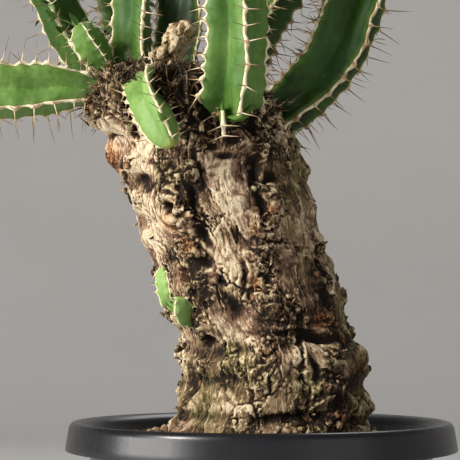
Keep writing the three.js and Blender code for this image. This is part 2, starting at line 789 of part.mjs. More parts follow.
// Grains on the soil: rounded bumps at seeded places, with a low mound round the trunk
function soilSolid() {
  const random = seededRandom(11);
  const grains = [];
  const reach = wallInside(soilTopAtWall);
  while (grains.length < grainCount) {
    const radius = reach * Math.sqrt(random());
    const angle = 2 * Math.PI * random();
    grains.push([radius * Math.cos(angle), radius * Math.sin(angle), grainHeight * (0.3 + 0.7 * random())]);
  }
  const bottom = potFloorTop + clearance;
  const profile = [[0, bottom], [wallInside(potFloorTop) - 2 * soilWallGap, bottom]];
  const edge = reach - soilWallGap;
  for (let ring = 0; ring <= soilRings; ring += 1) {
    profile.push([edge * (1 - (ring / soilRings) ** 1.15), soilTopAtWall]);
  }
  const geometry = turnedSolid(profile, soilSides);
  const position = geometry.attributes.position;
  for (let index = 0; index < position.count; index += 1) {
    const x = position.getX(index);
    const y = position.getY(index);
    const radius = Math.hypot(x, y);
    if (position.getZ(index) > soilTopAtWall - 1 && radius < edge - 0.5) {
      const grain = grains.reduce((highest, [gx, gy, height]) => (
        Math.max(highest, height * Math.exp(-((Math.hypot(x - gx, y - gy) / (0.5 * grainSpacing)) ** 2)))
      ), 0);
      const mound = soilMoundHeight * (1 - smoothStep(moundTop, moundFoot, radius));
      position.setZ(index, soilTopAtWall + mound + grain);
    }
  }
  return toSolid(geometry).subtract(toSolid(trunkGeometry(clearance)));
}

function namedMesh(name, geometry, colour, roughness) {
  const material = new THREE.MeshStandardMaterial({ color: colour, roughness, metalness: 0 });
  const mesh = new THREE.Mesh(geometry, material);
  mesh.name = name;
  return mesh;
}

const group = new THREE.Group();
group.add(namedMesh('pot', toGeometry(potSolid()), colours.pot, 0.42));
group.add(namedMesh('soil', toGeometry(soilSolid()), colours.soil, 0.95));
group.add(namedMesh('trunk', toGeometry(trunkSolid()), colours.trunk, 0.9));
stems.forEach((stem, index) => {
  const length = curveOf(stem.path).getLength();
  const distances = stemDistances(stem, length);
  const colour = stem.name === 'stem_front_young' ? colours.young : colours.stem;
  const margins = marginsSolid(stem, distances, seededRandom(100 + index));
  group.add(namedMesh(stem.name, stemGeometry(stem, distances, noGrowth), colour, 0.5));
  group.add(namedMesh(stem.name.replace('stem', 'margins'), toGeometry(margins), colours.margin, 0.6));
});
shoots.forEach((shoot) => {
  group.add(namedMesh(shoot.name, shootGeometry(shoot, 0), colours.young, 0.5));
});

export default group;
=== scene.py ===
"""A potted caudex euphorbia: leaning corky trunk, ribbed stems with horny margins and spines,
potting mix and a round plastic pot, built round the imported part."""

import math
from collections import namedtuple

import bmesh
import bpy
import numpy as np
from bpy.props import FloatProperty, FloatVectorProperty, PointerProperty
from mathutils import Matrix, Vector


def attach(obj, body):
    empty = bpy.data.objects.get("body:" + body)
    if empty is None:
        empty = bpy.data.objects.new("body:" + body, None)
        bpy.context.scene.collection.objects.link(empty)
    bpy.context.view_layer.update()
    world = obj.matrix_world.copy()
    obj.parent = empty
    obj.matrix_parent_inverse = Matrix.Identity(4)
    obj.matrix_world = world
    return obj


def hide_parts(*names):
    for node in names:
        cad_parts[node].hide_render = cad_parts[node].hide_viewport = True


bl_info = {
    "name": "Potted caudex euphorbia",
    "version": (1, 0, 0),
    "blender": (4, 5, 0),
    "location": "3D View > Sidebar > Euphorbia",
    "description": "Finished surfaces for a potted euphorbia with a corky trunk and spiny ribbed stems",
    "category": "Add Mesh",
}

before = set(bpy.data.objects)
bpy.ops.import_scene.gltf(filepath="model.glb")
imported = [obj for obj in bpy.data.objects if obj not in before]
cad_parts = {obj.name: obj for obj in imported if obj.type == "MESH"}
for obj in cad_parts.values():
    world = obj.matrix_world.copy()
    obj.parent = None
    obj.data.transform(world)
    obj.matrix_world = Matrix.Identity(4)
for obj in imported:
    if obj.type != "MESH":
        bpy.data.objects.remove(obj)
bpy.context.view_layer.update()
MM = 0.001
BODY = "root"
SEEDS = {"bits": 7, "soil": 17, "leaves": 31, "stumps": 120, "margins": 400, "shoots": 500}

# Pot, in millimetres
POT_HEIGHT = 150
LIP_RADIUS = 90
LIP_DROP = 12.4
LIP_THICKNESS = 2.4
LIP_CREST_RADIUS = 86
LIP_ROUNDING = (1.3, 4)
WALL_THICKNESS = 1.9
WALL_TOP_RADIUS = 80
WALL_BASE_RADIUS = 58
POT_FLOOR_TOP = 5.5
DRAIN_GROOVE = (28, 48, 3)
DRAIN_HOLES = 8
DRAIN_HOLE_RADIUS = 4.5
DRAIN_CUT = 30
NOTCH = (24, 8)
EDGE_BEVEL = 0.35
EDGE_ANGLE = 38
POT_STEPS = 168

# Potting mix
SOIL_TOP = 138.5
SOIL_MOUND = 6
MOUND_FOOT = 80
MOUND_TOP = 50
SOIL_EDGE = 77.3
SOIL_SIDES = 160
SOIL_RINGS = 56

# Loose grains of two sizes: number, smallest and largest size, sinking share; tones and shares of their kinds
SMALL_GRAINS = (2300, 0.7, 1.7, 0.2)
LARGE_GRAINS = (520, 1.5, 3.3, 0.15)
GRAIN_KINDS = (0.15, 0.3, 0.45, 0.6, 0.75, 0.92)
GRAIN_SHARES = (0.2, 0.22, 0.2, 0.18, 0.12, 0.08)

# Trunk: height, middle across, middle in depth, half-width
TRUNK_ROWS = [
    (98, 2, 0, 16), (118, 3, 0, 30), (136, 3.5, 0, 42), (145, 3.3, 0, 46), (152, 4.4, 0, 44.4),
    (167, 6.5, 0, 42), (178, 5, 0, 41.4), (190, 2.1, 0, 38.5), (206, -3.3, 0, 40.4), (221, -7.9, 0, 41),
    (237, -13.8, 0, 41.6), (256, -18.9, 0, 42), (267, -21.7, 0, 41.6), (277, -23.6, 0, 41),
    (286, -29, 0, 43.7), (295, -34, 0, 46), (302, -40, 0, 42), (308, -45, 0, 34), (314, -49, 0, 23),
    (318, -51, 0, 9), (319.4, -51.5, 0, 0.6),
]
TRUNK_SIDES = 384
TRUNK_RINGS = 244
TRUNK_FINE_FROM = 132
BURIED_RINGS = [98, 110, 122]
OUTLINE_STEPS = 4000
TRUNK_TOP_FADE = (308, 319)
CROWN_FROM = (284, 298)
BARK_FROM = 141
BARK_FADE = 4
GRAIN_RADIUS = 42

# Scars of old side shoots stand in slanting rows up the trunk.
SCAR_ROWS = 8
SCAR_ROW_AT_MIDDLE = 16
SCAR_ROW_DRIFT = 0.4
SCAR_ROW_MIDDLE_HEIGHT = 230
SCAR_SPACING = 17
SCAR_ROW_SHIFT = 2.4
SCAR_RISE = 3.2
SCAR_HALF_WIDTH = 6

# Lumps: bearing from the front, height, rise, half-width, half-height
TRUNK_LUMPS = [
    (-86, 274, 9, 8, 8), (67, 182.7, 7, 8, 9), (64, 269.5, 5, 7, 8), (-50, 268, 4, 12, 10),
    (-34, 245.4, 4.5, 12, 12), (27, 256.7, 3, 9, 9), (28, 246.5, 3.5, 4, 4), (5, 248, 3.2, 9, 16),
    (21, 274, 4, 4, 6), (31, 270, 4.5, 4, 7), (-33, 196, 2.5, 12, 12), (29, 205, 2.5, 10, 12),
    (-9, 183.6, 4, 5, 5), (44, 186.3, 4, 6, 5), (38, 153.6, 4, 6, 5), (61, 148, 4, 9, 8),
    (-64, 149.3, 4, 9, 7), (140, 262, 7, 9, 9), (-150, 228, 6, 9, 10), (170, 180, 6, 9, 9),
    (112, 214, 5, 8, 9), (-120, 160, 4, 10, 8),
]

# Creases round the trunk: height, depth, half-height, how far they wander
TRUNK_CREASES = [
    (185, 2, 3, 3), (169, 0.8, 2.5, 2), (152.5, 1.4, 2.5, 1.5), (281, 2, 3, 3),
]

# Narrow clefts, cut into the bark and darkened with painted shade: bearing, height, depth, half-width,
# half-height
CLEFTS = [
    (-19, 246, 4.5, 1.9, 9), (-17, 233, 3.5, 2.2, 6), (-28, 221, 4, 4, 2.4), (-20, 213, 3.5, 2.6, 3),
    (-16, 201, 3.5, 3.5, 6), (-50, 259, 3.5, 4, 2.6), (-66, 262, 2.6, 3, 3.5), (33, 260, 6, 4.5, 3),
    (20, 252, 3.5, 1.6, 13), (24, 262, 4, 2.5, 6), (6, 268, 2.6, 3.5, 1.6), (36, 272, 3.5, 3, 5),
    (-2, 272, 2.2, 2.4, 1.6), (15, 275, 2.4, 2.6, 1.4), (-10, 262, 2.5, 1.4, 8), (17, 190, 4, 10, 1.5),
    (36, 188, 4, 8, 1.5), (57, 224, 3, 2.6, 10), (53, 205, 3, 3, 5), (-3, 215, 2, 1.2, 9),
    (24, 176, 2.5, 1.6, 6), (37, 160, 3, 3, 4), (-44, 186, 2.5, 4, 2), (-57, 170, 2.2, 1.5, 7),
    (12, 154, 3, 12, 1.6), (-22, 228, 2.5, 1.6, 6),
]

# Smoother swollen plates: bearing, height, half-width, half-height
SMOOTH_PLATES = [
    (5, 248, 8, 15), (38, 224, 6, 24), (74, 212, 7, 30), (76, 172, 8, 20), (-42, 162, 7, 9),
    (9, 161, 8, 6), (-62, 284, 9, 9), (-46, 272, 8, 8), (-72, 240, 8, 18), (46, 232, 7, 20),
    (66, 250, 9, 18), (-52, 150, 9, 7), (57, 172, 12, 9), (-54, 160, 12, 9), (-6, 196, 9, 9),
    (-4, 222, 6, 9), (40, 166, 7, 7), (100, 240, 12, 22), (150, 200, 12, 16), (-160, 262, 12, 16),
    (-110, 210, 11, 18), (-130, 180, 10, 10),
]

# Dark crusts, and painted shade over the crown between the stems, or paler bark where negative: bearing,
# height, half-width, half-height, darkness
CRUSTS_AND_CROWN_SHADE = [
    (13, 197, 15, 13, 0.9), (-38, 215, 7, 14, 0.7), (52, 209, 9, 20, 0.6), (38, 160, 11, 15, 0.75),
    (-64, 163, 6, 13, 0.9), (-28, 205, 9, 6, 0.8), (14, 154, 12, 3, 0.9), (52, 186, 7, 5, 0.7),
    (-10, 154, 7, 4, 0.4), (20, 256, 9, 12, 0.7), (-32, 268, 7, 9, 0.8), (5, 276, 10, 7, 0.9),
    (35, 274, 8, 9, 0.6), (-20, 246, 5, 13, 0.9), (-64, 297, 9, 8, 0.5), (14, 224, 6, 10, 0.5),
    (85, 200, 10, 40, 0.4), (5, 247, 9, 16, -0.6), (-45, 270, 9, 10, -0.8), (-58, 236, 9, 16, -0.7),
    (-44, 255, 9, 3, 0.8), (-52, 225, 7, 4, 0.7), (-2, 232, 6, 4, 0.6), (-12, 224, 8, 14, -0.5),
    (-14, 192, 10, 13, -0.5), (14, 172, 11, 10, -0.35), (54, 236, 8, 18, -0.35), (-20, 158, 11, 6, -0.4),
    (15, 149, 45, 8, 0.5), (25, 166, 25, 8, 0.45), (-30, 170, 8, 5, 0.6), (2, 176, 7, 4, 0.5),
    (62, 172, 7, 6, 0.6), (-62, 288, 9, 8, -0.6), (-80, 283, 7, 9, -0.5), (-86, 272, 7, 8, 0.9),
    (-30, 293, 12, 8, 1.0), (0, 284, 14, 7, 0.9), (22, 288, 14, 12, 0.6), (-5, 298, 16, 9, 0.8),
    (5, 309, 20, 7, 0.8),
]

# Yellow-green bark: bearing, height, half-width, half-height
OLIVE_SPOTS = [
    (-24, 178, 9, 14), (-44, 160, 8, 10), (76, 185, 9, 40), (40, 240, 5, 26), (18, 166, 8, 8),
    (-30, 262, 8, 6), (60, 262, 7, 14),
]

# Knots with a hole and rings round it: bearing, height, radius of the hole, its depth, reach of the rings
KNOTS = [
    (-34, 245.4, 4.2, 6, 13), (27, 256.7, 3.4, 5, 9), (170, 182, 4, 5, 11), (-150, 230, 3.6, 5, 11),
]

# Rusty corky spots: bearing, height, half-size
RUSTY_SPOTS = [
    (-82, 273, 7), (-36, 239, 4), (4, 211, 3.5), (41, 196, 5), (-30, 228, 4), (-44, 215, 4.5),
    (14, 234, 3), (26, 243, 3.5), (36, 153, 4), (-70, 300, 6), (120, 250, 5), (-140, 205, 5),
]

# Crumbs, flakes and old spines on the bark: number, smallest and largest size, lean
CRUMBS = (260, 0.8, 2.0, 0.1)
FLAKES = (380, 1.8, 5.0, 0.35)
OLD_SPINES = (900, 4.0, 10.0, 1.2)

# The grid of places for them on the trunk, and the bits round each stem's foot
BITS_RINGS = 190
BITS_SIDES = 260
BITS_TOP = 317
COLLAR_BITS = 34
COLLAR_REACH = (1.0, 13.0)

# Corky stumps of old branches that stand up in the crown: points with their radius
STUMPS = [
    [(-47, -12, 302, 9), (-46, -14, 312, 8), (-44.5, -14, 319, 7), (-40.5, -14, 325, 6), (-36.5, -14, 331, 7),
     (-35.5, -14, 335.5, 5.5)],
    [(-56, 14, 300, 11), (-61, 20, 314, 9), (-64, 24, 326, 8), (-66, 26, 337, 8.5), (-66.5, 26.5, 341, 6)],
]
STUMP_RINGS = 40
STUMP_SIDES = 48

# Stems, with radii low and high, the ribs' turn and twist in degrees, distance between teeth, how light the
# green is, kept low as painted shade on stems that stand in shadow such as right_main and rear_mid, and path
Stem = namedtuple("Stem", "name ribs low high turn twist pitch light spines path")
STEMS = [
    Stem("left_low", 4, 13, 14.4, -44, 0, 7.6, 0.57, 0.25, [
        (-66, -8, 300), (-79.9, -10, 303.6), (-93.6, -12, 304), (-121.6, -12, 303.5), (-140, -12, 307),
        (-156, -11, 318), (-168, -10, 336), (-175, -9, 358), (-178, -8, 380)]),
    Stem("left_rear", 3, 11, 12, -12, 10, 7.5, 0.3, 0.3, [
        (-64, 5, 304), (-77, 10, 315), (-86.5, 12, 326), (-96.8, 14, 344), (-106, 16, 364),
        (-114, 18, 388), (-118, 20, 412)]),
    Stem("left_mid", 3, 9.5, 11, 20, 15, 7.2, 0.32, 0.2, [
        (-57, -3, 303), (-58.5, -4, 318), (-59.8, -4, 330), (-59, -6, 348), (-60, -8, 375),
        (-63, -10, 402), (-65, -11, 424)]),
    Stem("front_main", 4, 13.6, 13, 31, -50, 6.6, 0.52, 0.3, [
        (-18, -30, 280), (-16, -39, 287), (-13.4, -46, 296), (-11.6, -50, 309), (-11, -52, 337),
        (-8.5, -55, 370), (-6, -60, 402), (-4, -64, 428)]),
    Stem("rear_right_tall", 4, 13, 14, 10, 12, 7.5, 0.22, 0.6, [
        (-23, 11, 290), (-19, 14, 303), (-12, 18, 321), (0, 22, 346), (13, 27, 372), (22, 31, 400),
        (27, 34, 430)]),
    # Painted shade: right_main's low light value stands for the shadow over its broad face.
    Stem("right_main", 4, 13, 16.4, 38, 0, 7.4, 0.1, 0.95, [
        (-4, -8, 284), (6, -10, 291.5), (18.3, -12, 300.5), (28.5, -14, 310.5), (36.8, -16, 324),
        (41, -17, 335), (45.2, -18, 346), (51, -18, 368), (55, -17, 392), (57, -16, 416)]),
    Stem("rear_left", 4, 11, 12.5, 20, 10, 7.5, 0.22, 0.4, [
        (-65, 26, 333), (-67, 27.5, 344), (-71, 32, 360), (-77, 40, 384), (-82, 46, 408), (-85, 50, 432)]),
    # Painted shade: rear_mid's low light value stands for the deep shadow behind the front stems.
    Stem("rear_mid", 3, 12, 14, 35, 10, 7.5, -0.05, 0.5, [
        (-42, 22, 296), (-41, 31, 310), (-40, 40, 326), (-39, 48, 350), (-40, 56, 380), (-42, 62, 412)]),
    Stem("rear_right_low", 3, 10.5, 13, 30, 12, 7.5, 0.2, 0.6, [
        (0, 14, 282), (10, 22, 291.5), (20, 32, 302), (31, 42, 316), (40, 50, 334), (46, 56, 354),
        (52, 62, 380), (56, 66, 406)]),
    Stem("front_young", 3, 8.6, 8.6, -15, 0, 5.2, 0.7, 0.3, [
        (-50.5, -27, 302), (-51.5, -35.5, 301.5), (-51.8, -43, 298.5), (-50.5, -49, 293.5),
        (-47.5, -53.5, 286), (-43, -56.5, 277), (-38, -58, 268.5)]),
]
NECK_RADIUS = 6.2
FLARE = (4, 13)
FLARES = {"front_main": (11, 17.5), "left_low": (6, 38)}
MARGIN_START = 0.65
MARGIN_STARTS = {"left_low": 13}
TIP_TAPER = 22
TIP_SHARE = 0.62
TIP_ROUNDING = 9
VALLEY_SHARES = {3: 0.34, 4: 0.32}
VALLEY_PULL = 8
VALLEY_SHIFTS = {"front_main": -0.28}
CREST_HALF_WIDTH = 1.2
FACE_STEPS = 11
STEM_STEP = 1.4
RIB_WAVE = 1.0
RIB_WAVE_RADIUS = 13
RIB_WANDER = 1.2
MARGIN_HALF_WIDTH = 1.0
MARGIN_STEP = 0.9
SPINE_RADIUS = 0.34
SPINE_REACHES = {"left_low": 1.35, "right_main": 1.2}
SLENDER = 10
MARGIN_SIDES = 6

# Stretches of a rib with more leaves: stem, rib, and the distances between which they stand
LEAFY = [("right_main", 3, 62, 96), ("left_rear", 0, 40, 60), ("rear_right_tall", 0, 40, 60)]

# Green fins under the foot of the big front stem: the crest of each, its depth and half its width
FIN_STEM = "front_main"
FINS = [
    ([(-17.6, -54.5, 290), (-17.5, -56, 285), (-17.2, -55, 279.5), (-17, -50, 274.5)], 11, 2.3),
    ([(-15.8, -55, 282.5), (-11.5, -56, 281.5), (-7.5, -55, 284), (-5, -51, 289)], 8, 2.6),
]
KEEL_TEETH = (0.62, 0.95)
KEEL_SPINE = 8.5

# Short shoots: ribs, radius over the ribs, radius of the neck, turn, how light its green is, path
Shoot = namedtuple("Shoot", "name ribs radius neck turn light path")
SHOOTS = [
    Shoot("shoot_bulb", 4, 7.4, 3, 10, 0.6, [
        (-68, -7, 310), (-74, -10, 318), (-80, -13, 326), (-84.5, -14, 335)]),
    Shoot("sprout_upper", 3, 4.2, 2.4, 20, 0.95, [
        (-36, -8, 203), (-42, -13, 205.5), (-43.5, -15, 212), (-45, -15.5, 221)]),
    Shoot("sprout_lower", 3, 4.8, 2.4, -30, 0.85, [
        (-28, -18, 194), (-34, -24.5, 196.5), (-36, -29, 200), (-37, -32, 206)]),
]
SHOOT_PITCH = 4.2
SHOOT_SIDES = 8
SHOOT_MARGIN_FROM = 0.3
FIN_SIDES = 12

# Studio floor in metres: a flat disc whose rim sweeps up all round
FLOOR_RADIUS = 2.0
FLOOR_SWEEP = 1.0
FLOOR_RIM = 1.5
FLOOR_STEPS = 96

# Camera, in metres and millimetres of lens
CAMERA_PLACE = (-0.0143, -0.575, 0.183)
CAMERA_AIM = (-0.0143, 0.0, 0.239)
CAMERA_LENS = 95.9
CAMERA_SENSOR = 36.0
CAMERA_NEAR = 0.02
AIR_COLOUR = (0.8, 0.81, 0.83, 1)

# Lights: name, setting of its power, place, target, width and height, colour
LIGHTS = [
    ("key_light", "key_power", (-1.8, -1.3, 1.5), (-0.02, 0, 0.24), (0.55, 0.55), (1, 0.965, 0.91)),
    ("side_light", "side_power", (-1.9, -0.8, 0.5), (-0.02, 0, 0.18), (1.5, 0.5), (1, 0.98, 0.95)),
    ("fill_light", "fill_power", (1.3, -1.5, 0.6), (-0.02, 0, 0.22), (1.4, 1.4), (0.93, 0.96, 1)),
    ("top_light", "top_power", (0.3, 1.2, 1.7), (-0.02, 0, 0.3), (0.9, 0.9), (1, 1, 1)),
]


# Numbers

def mix(low, high, share):
    return low + (high - low) * share


def smooth_step(low, high, value):
    share = np.clip((value - low) / (high - low), 0, 1)
    return share * share * (3 - 2 * share)


def bell(offset, width):
    return np.exp(-((offset / width) ** 2))


def wrapped(angle):
    return np.arctan2(np.sin(angle), np.cos(angle))


def unit(vectors):
    return vectors / np.linalg.norm(vectors, axis=-1, keepdims=True)


def full_turn(count):
    """Angles of a number of places evenly round a circle."""
    return np.arange(count) * 2 * math.pi / count


def level_directions(bearing):
    """Level directions at bearings from the front."""
    return np.stack([np.sin(bearing), -np.cos(bearing), np.zeros_like(bearing)], -1)


def read_at(at, known, rows):
    """Rows read off between the known places of some rows."""
    return np.stack([np.interp(at, known, column) for column in rows.T], -1)


def along_rows(rows, at):
    """Smooth values between rows whose first column rises."""
    rows = np.array(rows, float)
    order = np.arange(len(rows))
    before = rows[np.maximum(order - 1, 0)]
    after = rows[np.minimum(order + 1, len(rows) - 1)]
    slopes = (after - before) / (after[:, :1] - before[:, :1])
    index = np.clip(np.searchsorted(rows[:, 0], at, side="right") - 1, 0, len(rows) - 2)
    low, high = rows[index], rows[index + 1]
    span = high[..., :1] - low[..., :1]
    share = np.clip((np.asarray(at, float)[..., None] - low[..., :1]) / span, 0, 1)
    square, cube = share ** 2, share ** 3
    return ((2 * cube - 3 * square + 1) * low + (cube - 2 * square + share) * span * slopes[index]
            + (3 * square - 2 * cube) * high + (cube - square) * span * slopes[index + 1])


# Noise on arrays of points

WORD = np.uint64(0xFFFFFFFF)
AXIS_FACTORS = tuple(map(np.uint64, (73856093, 19349663, 83492791)))
SEED_FACTOR = 2654435761
MIXING = ((16, 2146121005), (15, 2221713035))
GRADIENTS = unit(np.random.default_rng(5).normal(size=(256, 3)))


def cell_number(cell, seed):
    """A repeatable whole number for each cell of space."""
    x, y, z = ((cell[..., axis].astype(np.int64).astype(np.uint64) & WORD) * factor
               for axis, factor in enumerate(AXIS_FACTORS))
    value = (x ^ y ^ z ^ np.uint64(seed * SEED_FACTOR & int(WORD))) & WORD
    for shift, factor in MIXING:
        value = ((value ^ (value >> np.uint64(shift))) * np.uint64(factor)) & WORD
    return value ^ (value >> np.uint64(16))


def cell_random(cell, seed):
    return cell_number(cell, seed).astype(float) / 2 ** 32


def noise(points, seed=0):
    """Smooth noise from about -1 to 1."""
    cell = np.floor(points)
    part = points - cell
    fade = part ** 3 * (part * (part * 6 - 15) + 10)
    total = 0
    for corner in np.ndindex(2, 2, 2):
        offset = np.array(corner)
        gradient = GRADIENTS[(cell_number(cell + offset, seed) & np.uint64(255)).astype(int)]
        weight = np.prod(np.where(offset, fade, 1 - fade), axis=-1)
        total = total + weight * np.sum(gradient * (part - offset), axis=-1)
    return 1.7 * total


def noise_vector(points, seed):
    return np.stack([noise(points, seed + axis) for axis in range(3)], -1)


def layered_noise(points, seed, layers=3):
    return sum(noise(points * 2 ** layer, seed + layer) / 2 ** layer for layer in range(layers))


def cells(points, seed):
    """Distances to the nearest two scattered spots and a random number of the nearest."""
    base = np.floor(points)
    near = np.full(points.shape[:-1], 9.0)
    second = near.copy()
    number = np.zeros_like(near)
    for step in np.ndindex(3, 3, 3):
        cell = base + np.array(step) - 1
        spot = cell + np.stack([cell_random(cell, seed + axis) for axis in range(3)], -1)
        distance = np.linalg.norm(points - spot, axis=-1)
        closer = distance < near
        second = np.where(closer, near, np.minimum(second, distance))
        number = np.where(closer, cell_random(cell, seed + 3), number)
        near = np.where(closer, distance, near)
    return near, second, number


def softened(values, reach):
    """Values of a wrapped grid, each averaged with its neighbours."""
    steps = 2 * reach + 1
    across = sum(np.roll(values, shift, axis=1) for shift in range(-reach, reach + 1)) / steps
    padded = np.pad(across, ((reach, reach), (0, 0)), mode="edge")
    return sum(padded[shift:shift + len(values)] for shift in range(steps)) / steps


# Meshes

def tone_layer(shape, name, values=0.0):
    """The layer of that name, which holds numbers or, where the values are threes, vectors."""
    kind = shape.verts.layers.float_vector if np.shape(values)[2:] == (3,) else shape.verts.layers.float
    return kind.get(name) or kind.new(name)


def add_tube(shape, places, **tones):
    """Adds a closed tube whose places, in millimetres, run ring by ring, with tones at its points."""
    rings, sides = places.shape[:2]
    tube = bmesh.new()
    layers = {name: tone_layer(tube, name, values) for name, values in tones.items()}
    spread = {name: np.broadcast_to(values, (rings, sides, *np.shape(values)[2:]))
              for name, values in tones.items()}
    made = bmesh.ops.create_grid(tube, x_segments=sides, y_segments=rings - 1, size=1)["verts"]
    for index, vert in enumerate(made):
        ring, side = divmod(index, sides + 1)
        vert.co = places[ring, side % sides] * MM
        for name, values in spread.items():
            vert[layers[name]] = values[ring, side % sides]
    bmesh.ops.remove_doubles(tube, verts=tube.verts, dist=MM * 1e-4)
    rims = [edge for edge in tube.edges if edge.is_boundary]
    ends = bmesh.ops.holes_fill(tube, edges=rims, sides=0)["faces"]
    bmesh.ops.poke(tube, faces=ends)
    for name, values in tones.items():
        tone_layer(shape, name, values)
    mesh = mesh_from(tube, "tube")
    shape.from_mesh(mesh)
    bpy.data.meshes.remove(mesh)


def add_copy(shape, place, upward, forward, scale, pattern, **tones):
    """Adds a copy of a small pattern whose +Z stands along upward at a place in millimetres.

    A tone is a value or a pair for the copy's foot and its tip."""
    up = Vector(upward).normalized()
    ahead = Vector(forward)
    ahead = (ahead - ahead.dot(up) * up).normalized()
    turn = Matrix((ahead.cross(up), ahead, up)).transposed().to_4x4()
    size = Matrix.Diagonal((*[part * MM for part in np.broadcast_to(scale, 3)], 1))
    matrix = Matrix.Translation(Vector(place) * MM) @ turn @ size
    layers = {name: tone_layer(shape, name) for name in tones}
    count = len(shape.verts)
    shape.from_mesh(pattern)
    shape.verts.ensure_lookup_table()
    for vert in shape.verts[count:]:
        height = min(max(vert.co.z, 0.0), 1.0)
        for name, value in tones.items():
            low, high = value if isinstance(value, tuple) else (value, value)
            vert[layers[name]] = mix(low, high, height)
        vert.co = matrix @ vert.co


def lay_grain(shape):
    """Lets the bark's grain run straight up a shape."""
    layer = shape.verts.layers.float_vector.new("grain")
    for vert in shape.verts:
        vert[layer] = vert.co / MM


def spun(outline, steps):
    """A shape spun round the upright axis from radii and heights in metres."""
    shape = bmesh.new()
    points = [shape.verts.new((radius, 0, height)) for radius, height in outline]
    edges = [shape.edges.new(pair) for pair in zip(points, points[1:])]
    bmesh.ops.spin(shape, geom=points + edges, cent=(0, 0, 0), axis=(0, 0, 1), angle=2 * math.pi,
                   steps=steps, use_merge=True)
    return shape


def mesh_from(shape, name, outward=True):
    """Turns a shape into a mesh, with its faces turned outward unless they stay as they are."""
    if outward:
        bmesh.ops.recalc_face_normals(shape, faces=shape.faces)
    mesh = bpy.data.meshes.new(name)
    shape.to_mesh(mesh)
    shape.free()
    return mesh


def new_object(name, data):
    thing = bpy.data.objects.new(name, data)
    bpy.context.scene.collection.objects.link(thing)
    return thing


def piece_from(shape, name, build, replaces=()):
    """Makes a shape an object of the part with its finish, which rides on its body."""
    mesh = mesh_from(shape, name)
    mesh.materials.append(finished(build))
    mesh.shade_smooth()
    piece = new_object(name, mesh)
    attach(piece, BODY)
    if replaces:
        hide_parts(*replaces)


def spine_pattern(bend):
    """A slender curved spine of height 1 and base radius 1."""
    shape = bmesh.new()
    heights = np.array([-0.06, 0.0, 0.25, 0.5, 0.75, 1.0])
    widths = np.array([1.5, 1.15, 0.8, 0.6, 0.38, 0.06])
    turns = full_turn(5)
    places = np.zeros((len(heights), len(turns), 3))
    places[..., 0] = widths[:, None] * np.cos(turns)
    places[..., 1] = widths[:, None] * np.sin(turns) + bend * heights[:, None] ** 2
    places[..., 2] = heights[:, None]
    add_tube(shape, places / MM)
    return mesh_from(shape, "spine_pattern")


def crumb_pattern(seed, fineness=2):
    """A lumpy crumb about 1 in radius."""
    shape = bmesh.new()
    for vert in bmesh.ops.create_icosphere(shape, subdivisions=fineness, radius=1)["verts"]:
        spot = np.array(vert.co)
        vert.co *= 1 + 0.3 * noise(spot * 1.3, seed) + 0.16 * noise(spot * 3.1, seed + 1)
    return mesh_from(shape, "crumb_pattern")


def sheet_pattern(name, steps, thickness, bent):
    """A thin sheet whose places follow from those of a flat grid, across from -1 to 1 and up from 0 to 1."""
    shape = bmesh.new()
    for vert in bmesh.ops.create_grid(shape, x_segments=4, y_segments=steps, size=1)["verts"]:
        vert.co = bent(np.array(vert.co), vert.co.x, (vert.co.y + 1) / 2)
    bmesh.ops.solidify(shape, geom=shape.faces, thickness=thickness)
    return mesh_from(shape, name)


def flake_pattern(seed):
    """A curled flake of bark about 1 across, with its foot at z 0 and its ragged edge at z 1."""
    curl = 0.35 + 0.5 * ((seed * 37) % 10) / 10

    def bent(spot, across, up):
        wobble = noise(spot * 1.7 + seed, seed)
        narrow = 1 - 0.45 * up ** 2 + 0.25 * wobble
        lift = curl * up ** 2 + 0.22 * across ** 2 + 0.12 * wobble
        return (0.5 * across * narrow, lift, up * (1 + 0.3 * wobble))

    return sheet_pattern("flake_pattern", 5, 0.07, bent)


def leaf_pattern():
    """A small pointed leaf, its foot at z 0 and its tip at z 1."""
    def bent(_, across, up):
        width = 0.2 * math.sin(math.pi * (0.06 + 0.93 * up) ** 0.8)
        return (across * width, 0.35 * up ** 2 - 0.25 * width * (1 - across ** 2), up)

    return sheet_pattern("leaf_pattern", 6, 0.05, bent)


# Shader nodes

class Signal:
    """A node's output that takes part in sums with numbers and other outputs."""

    def __init__(self, finish, socket):
        self.finish = finish
        self.socket = socket

    def _math(self, operation, first, second):
        return self.finish.make("Math", {"operation": operation}, {0: first, 1: second})

    def __add__(self, other):
        return self._math("ADD", self, other)

    __radd__ = __add__

    def __sub__(self, other):
        return self._math("SUBTRACT", self, other)

    def __rsub__(self, other):
        return self._math("SUBTRACT", other, self)

    def __mul__(self, other):
        return self._math("MULTIPLY", self, other)

    __rmul__ = __mul__

    def between(self, low, high):
        """0 below low and 1 above high, with a smooth rise."""
        return self.finish.make("MapRange", {"interpolation_type": "SMOOTHSTEP"},
                                {"Value": self, "From Min": low, "From Max": high})


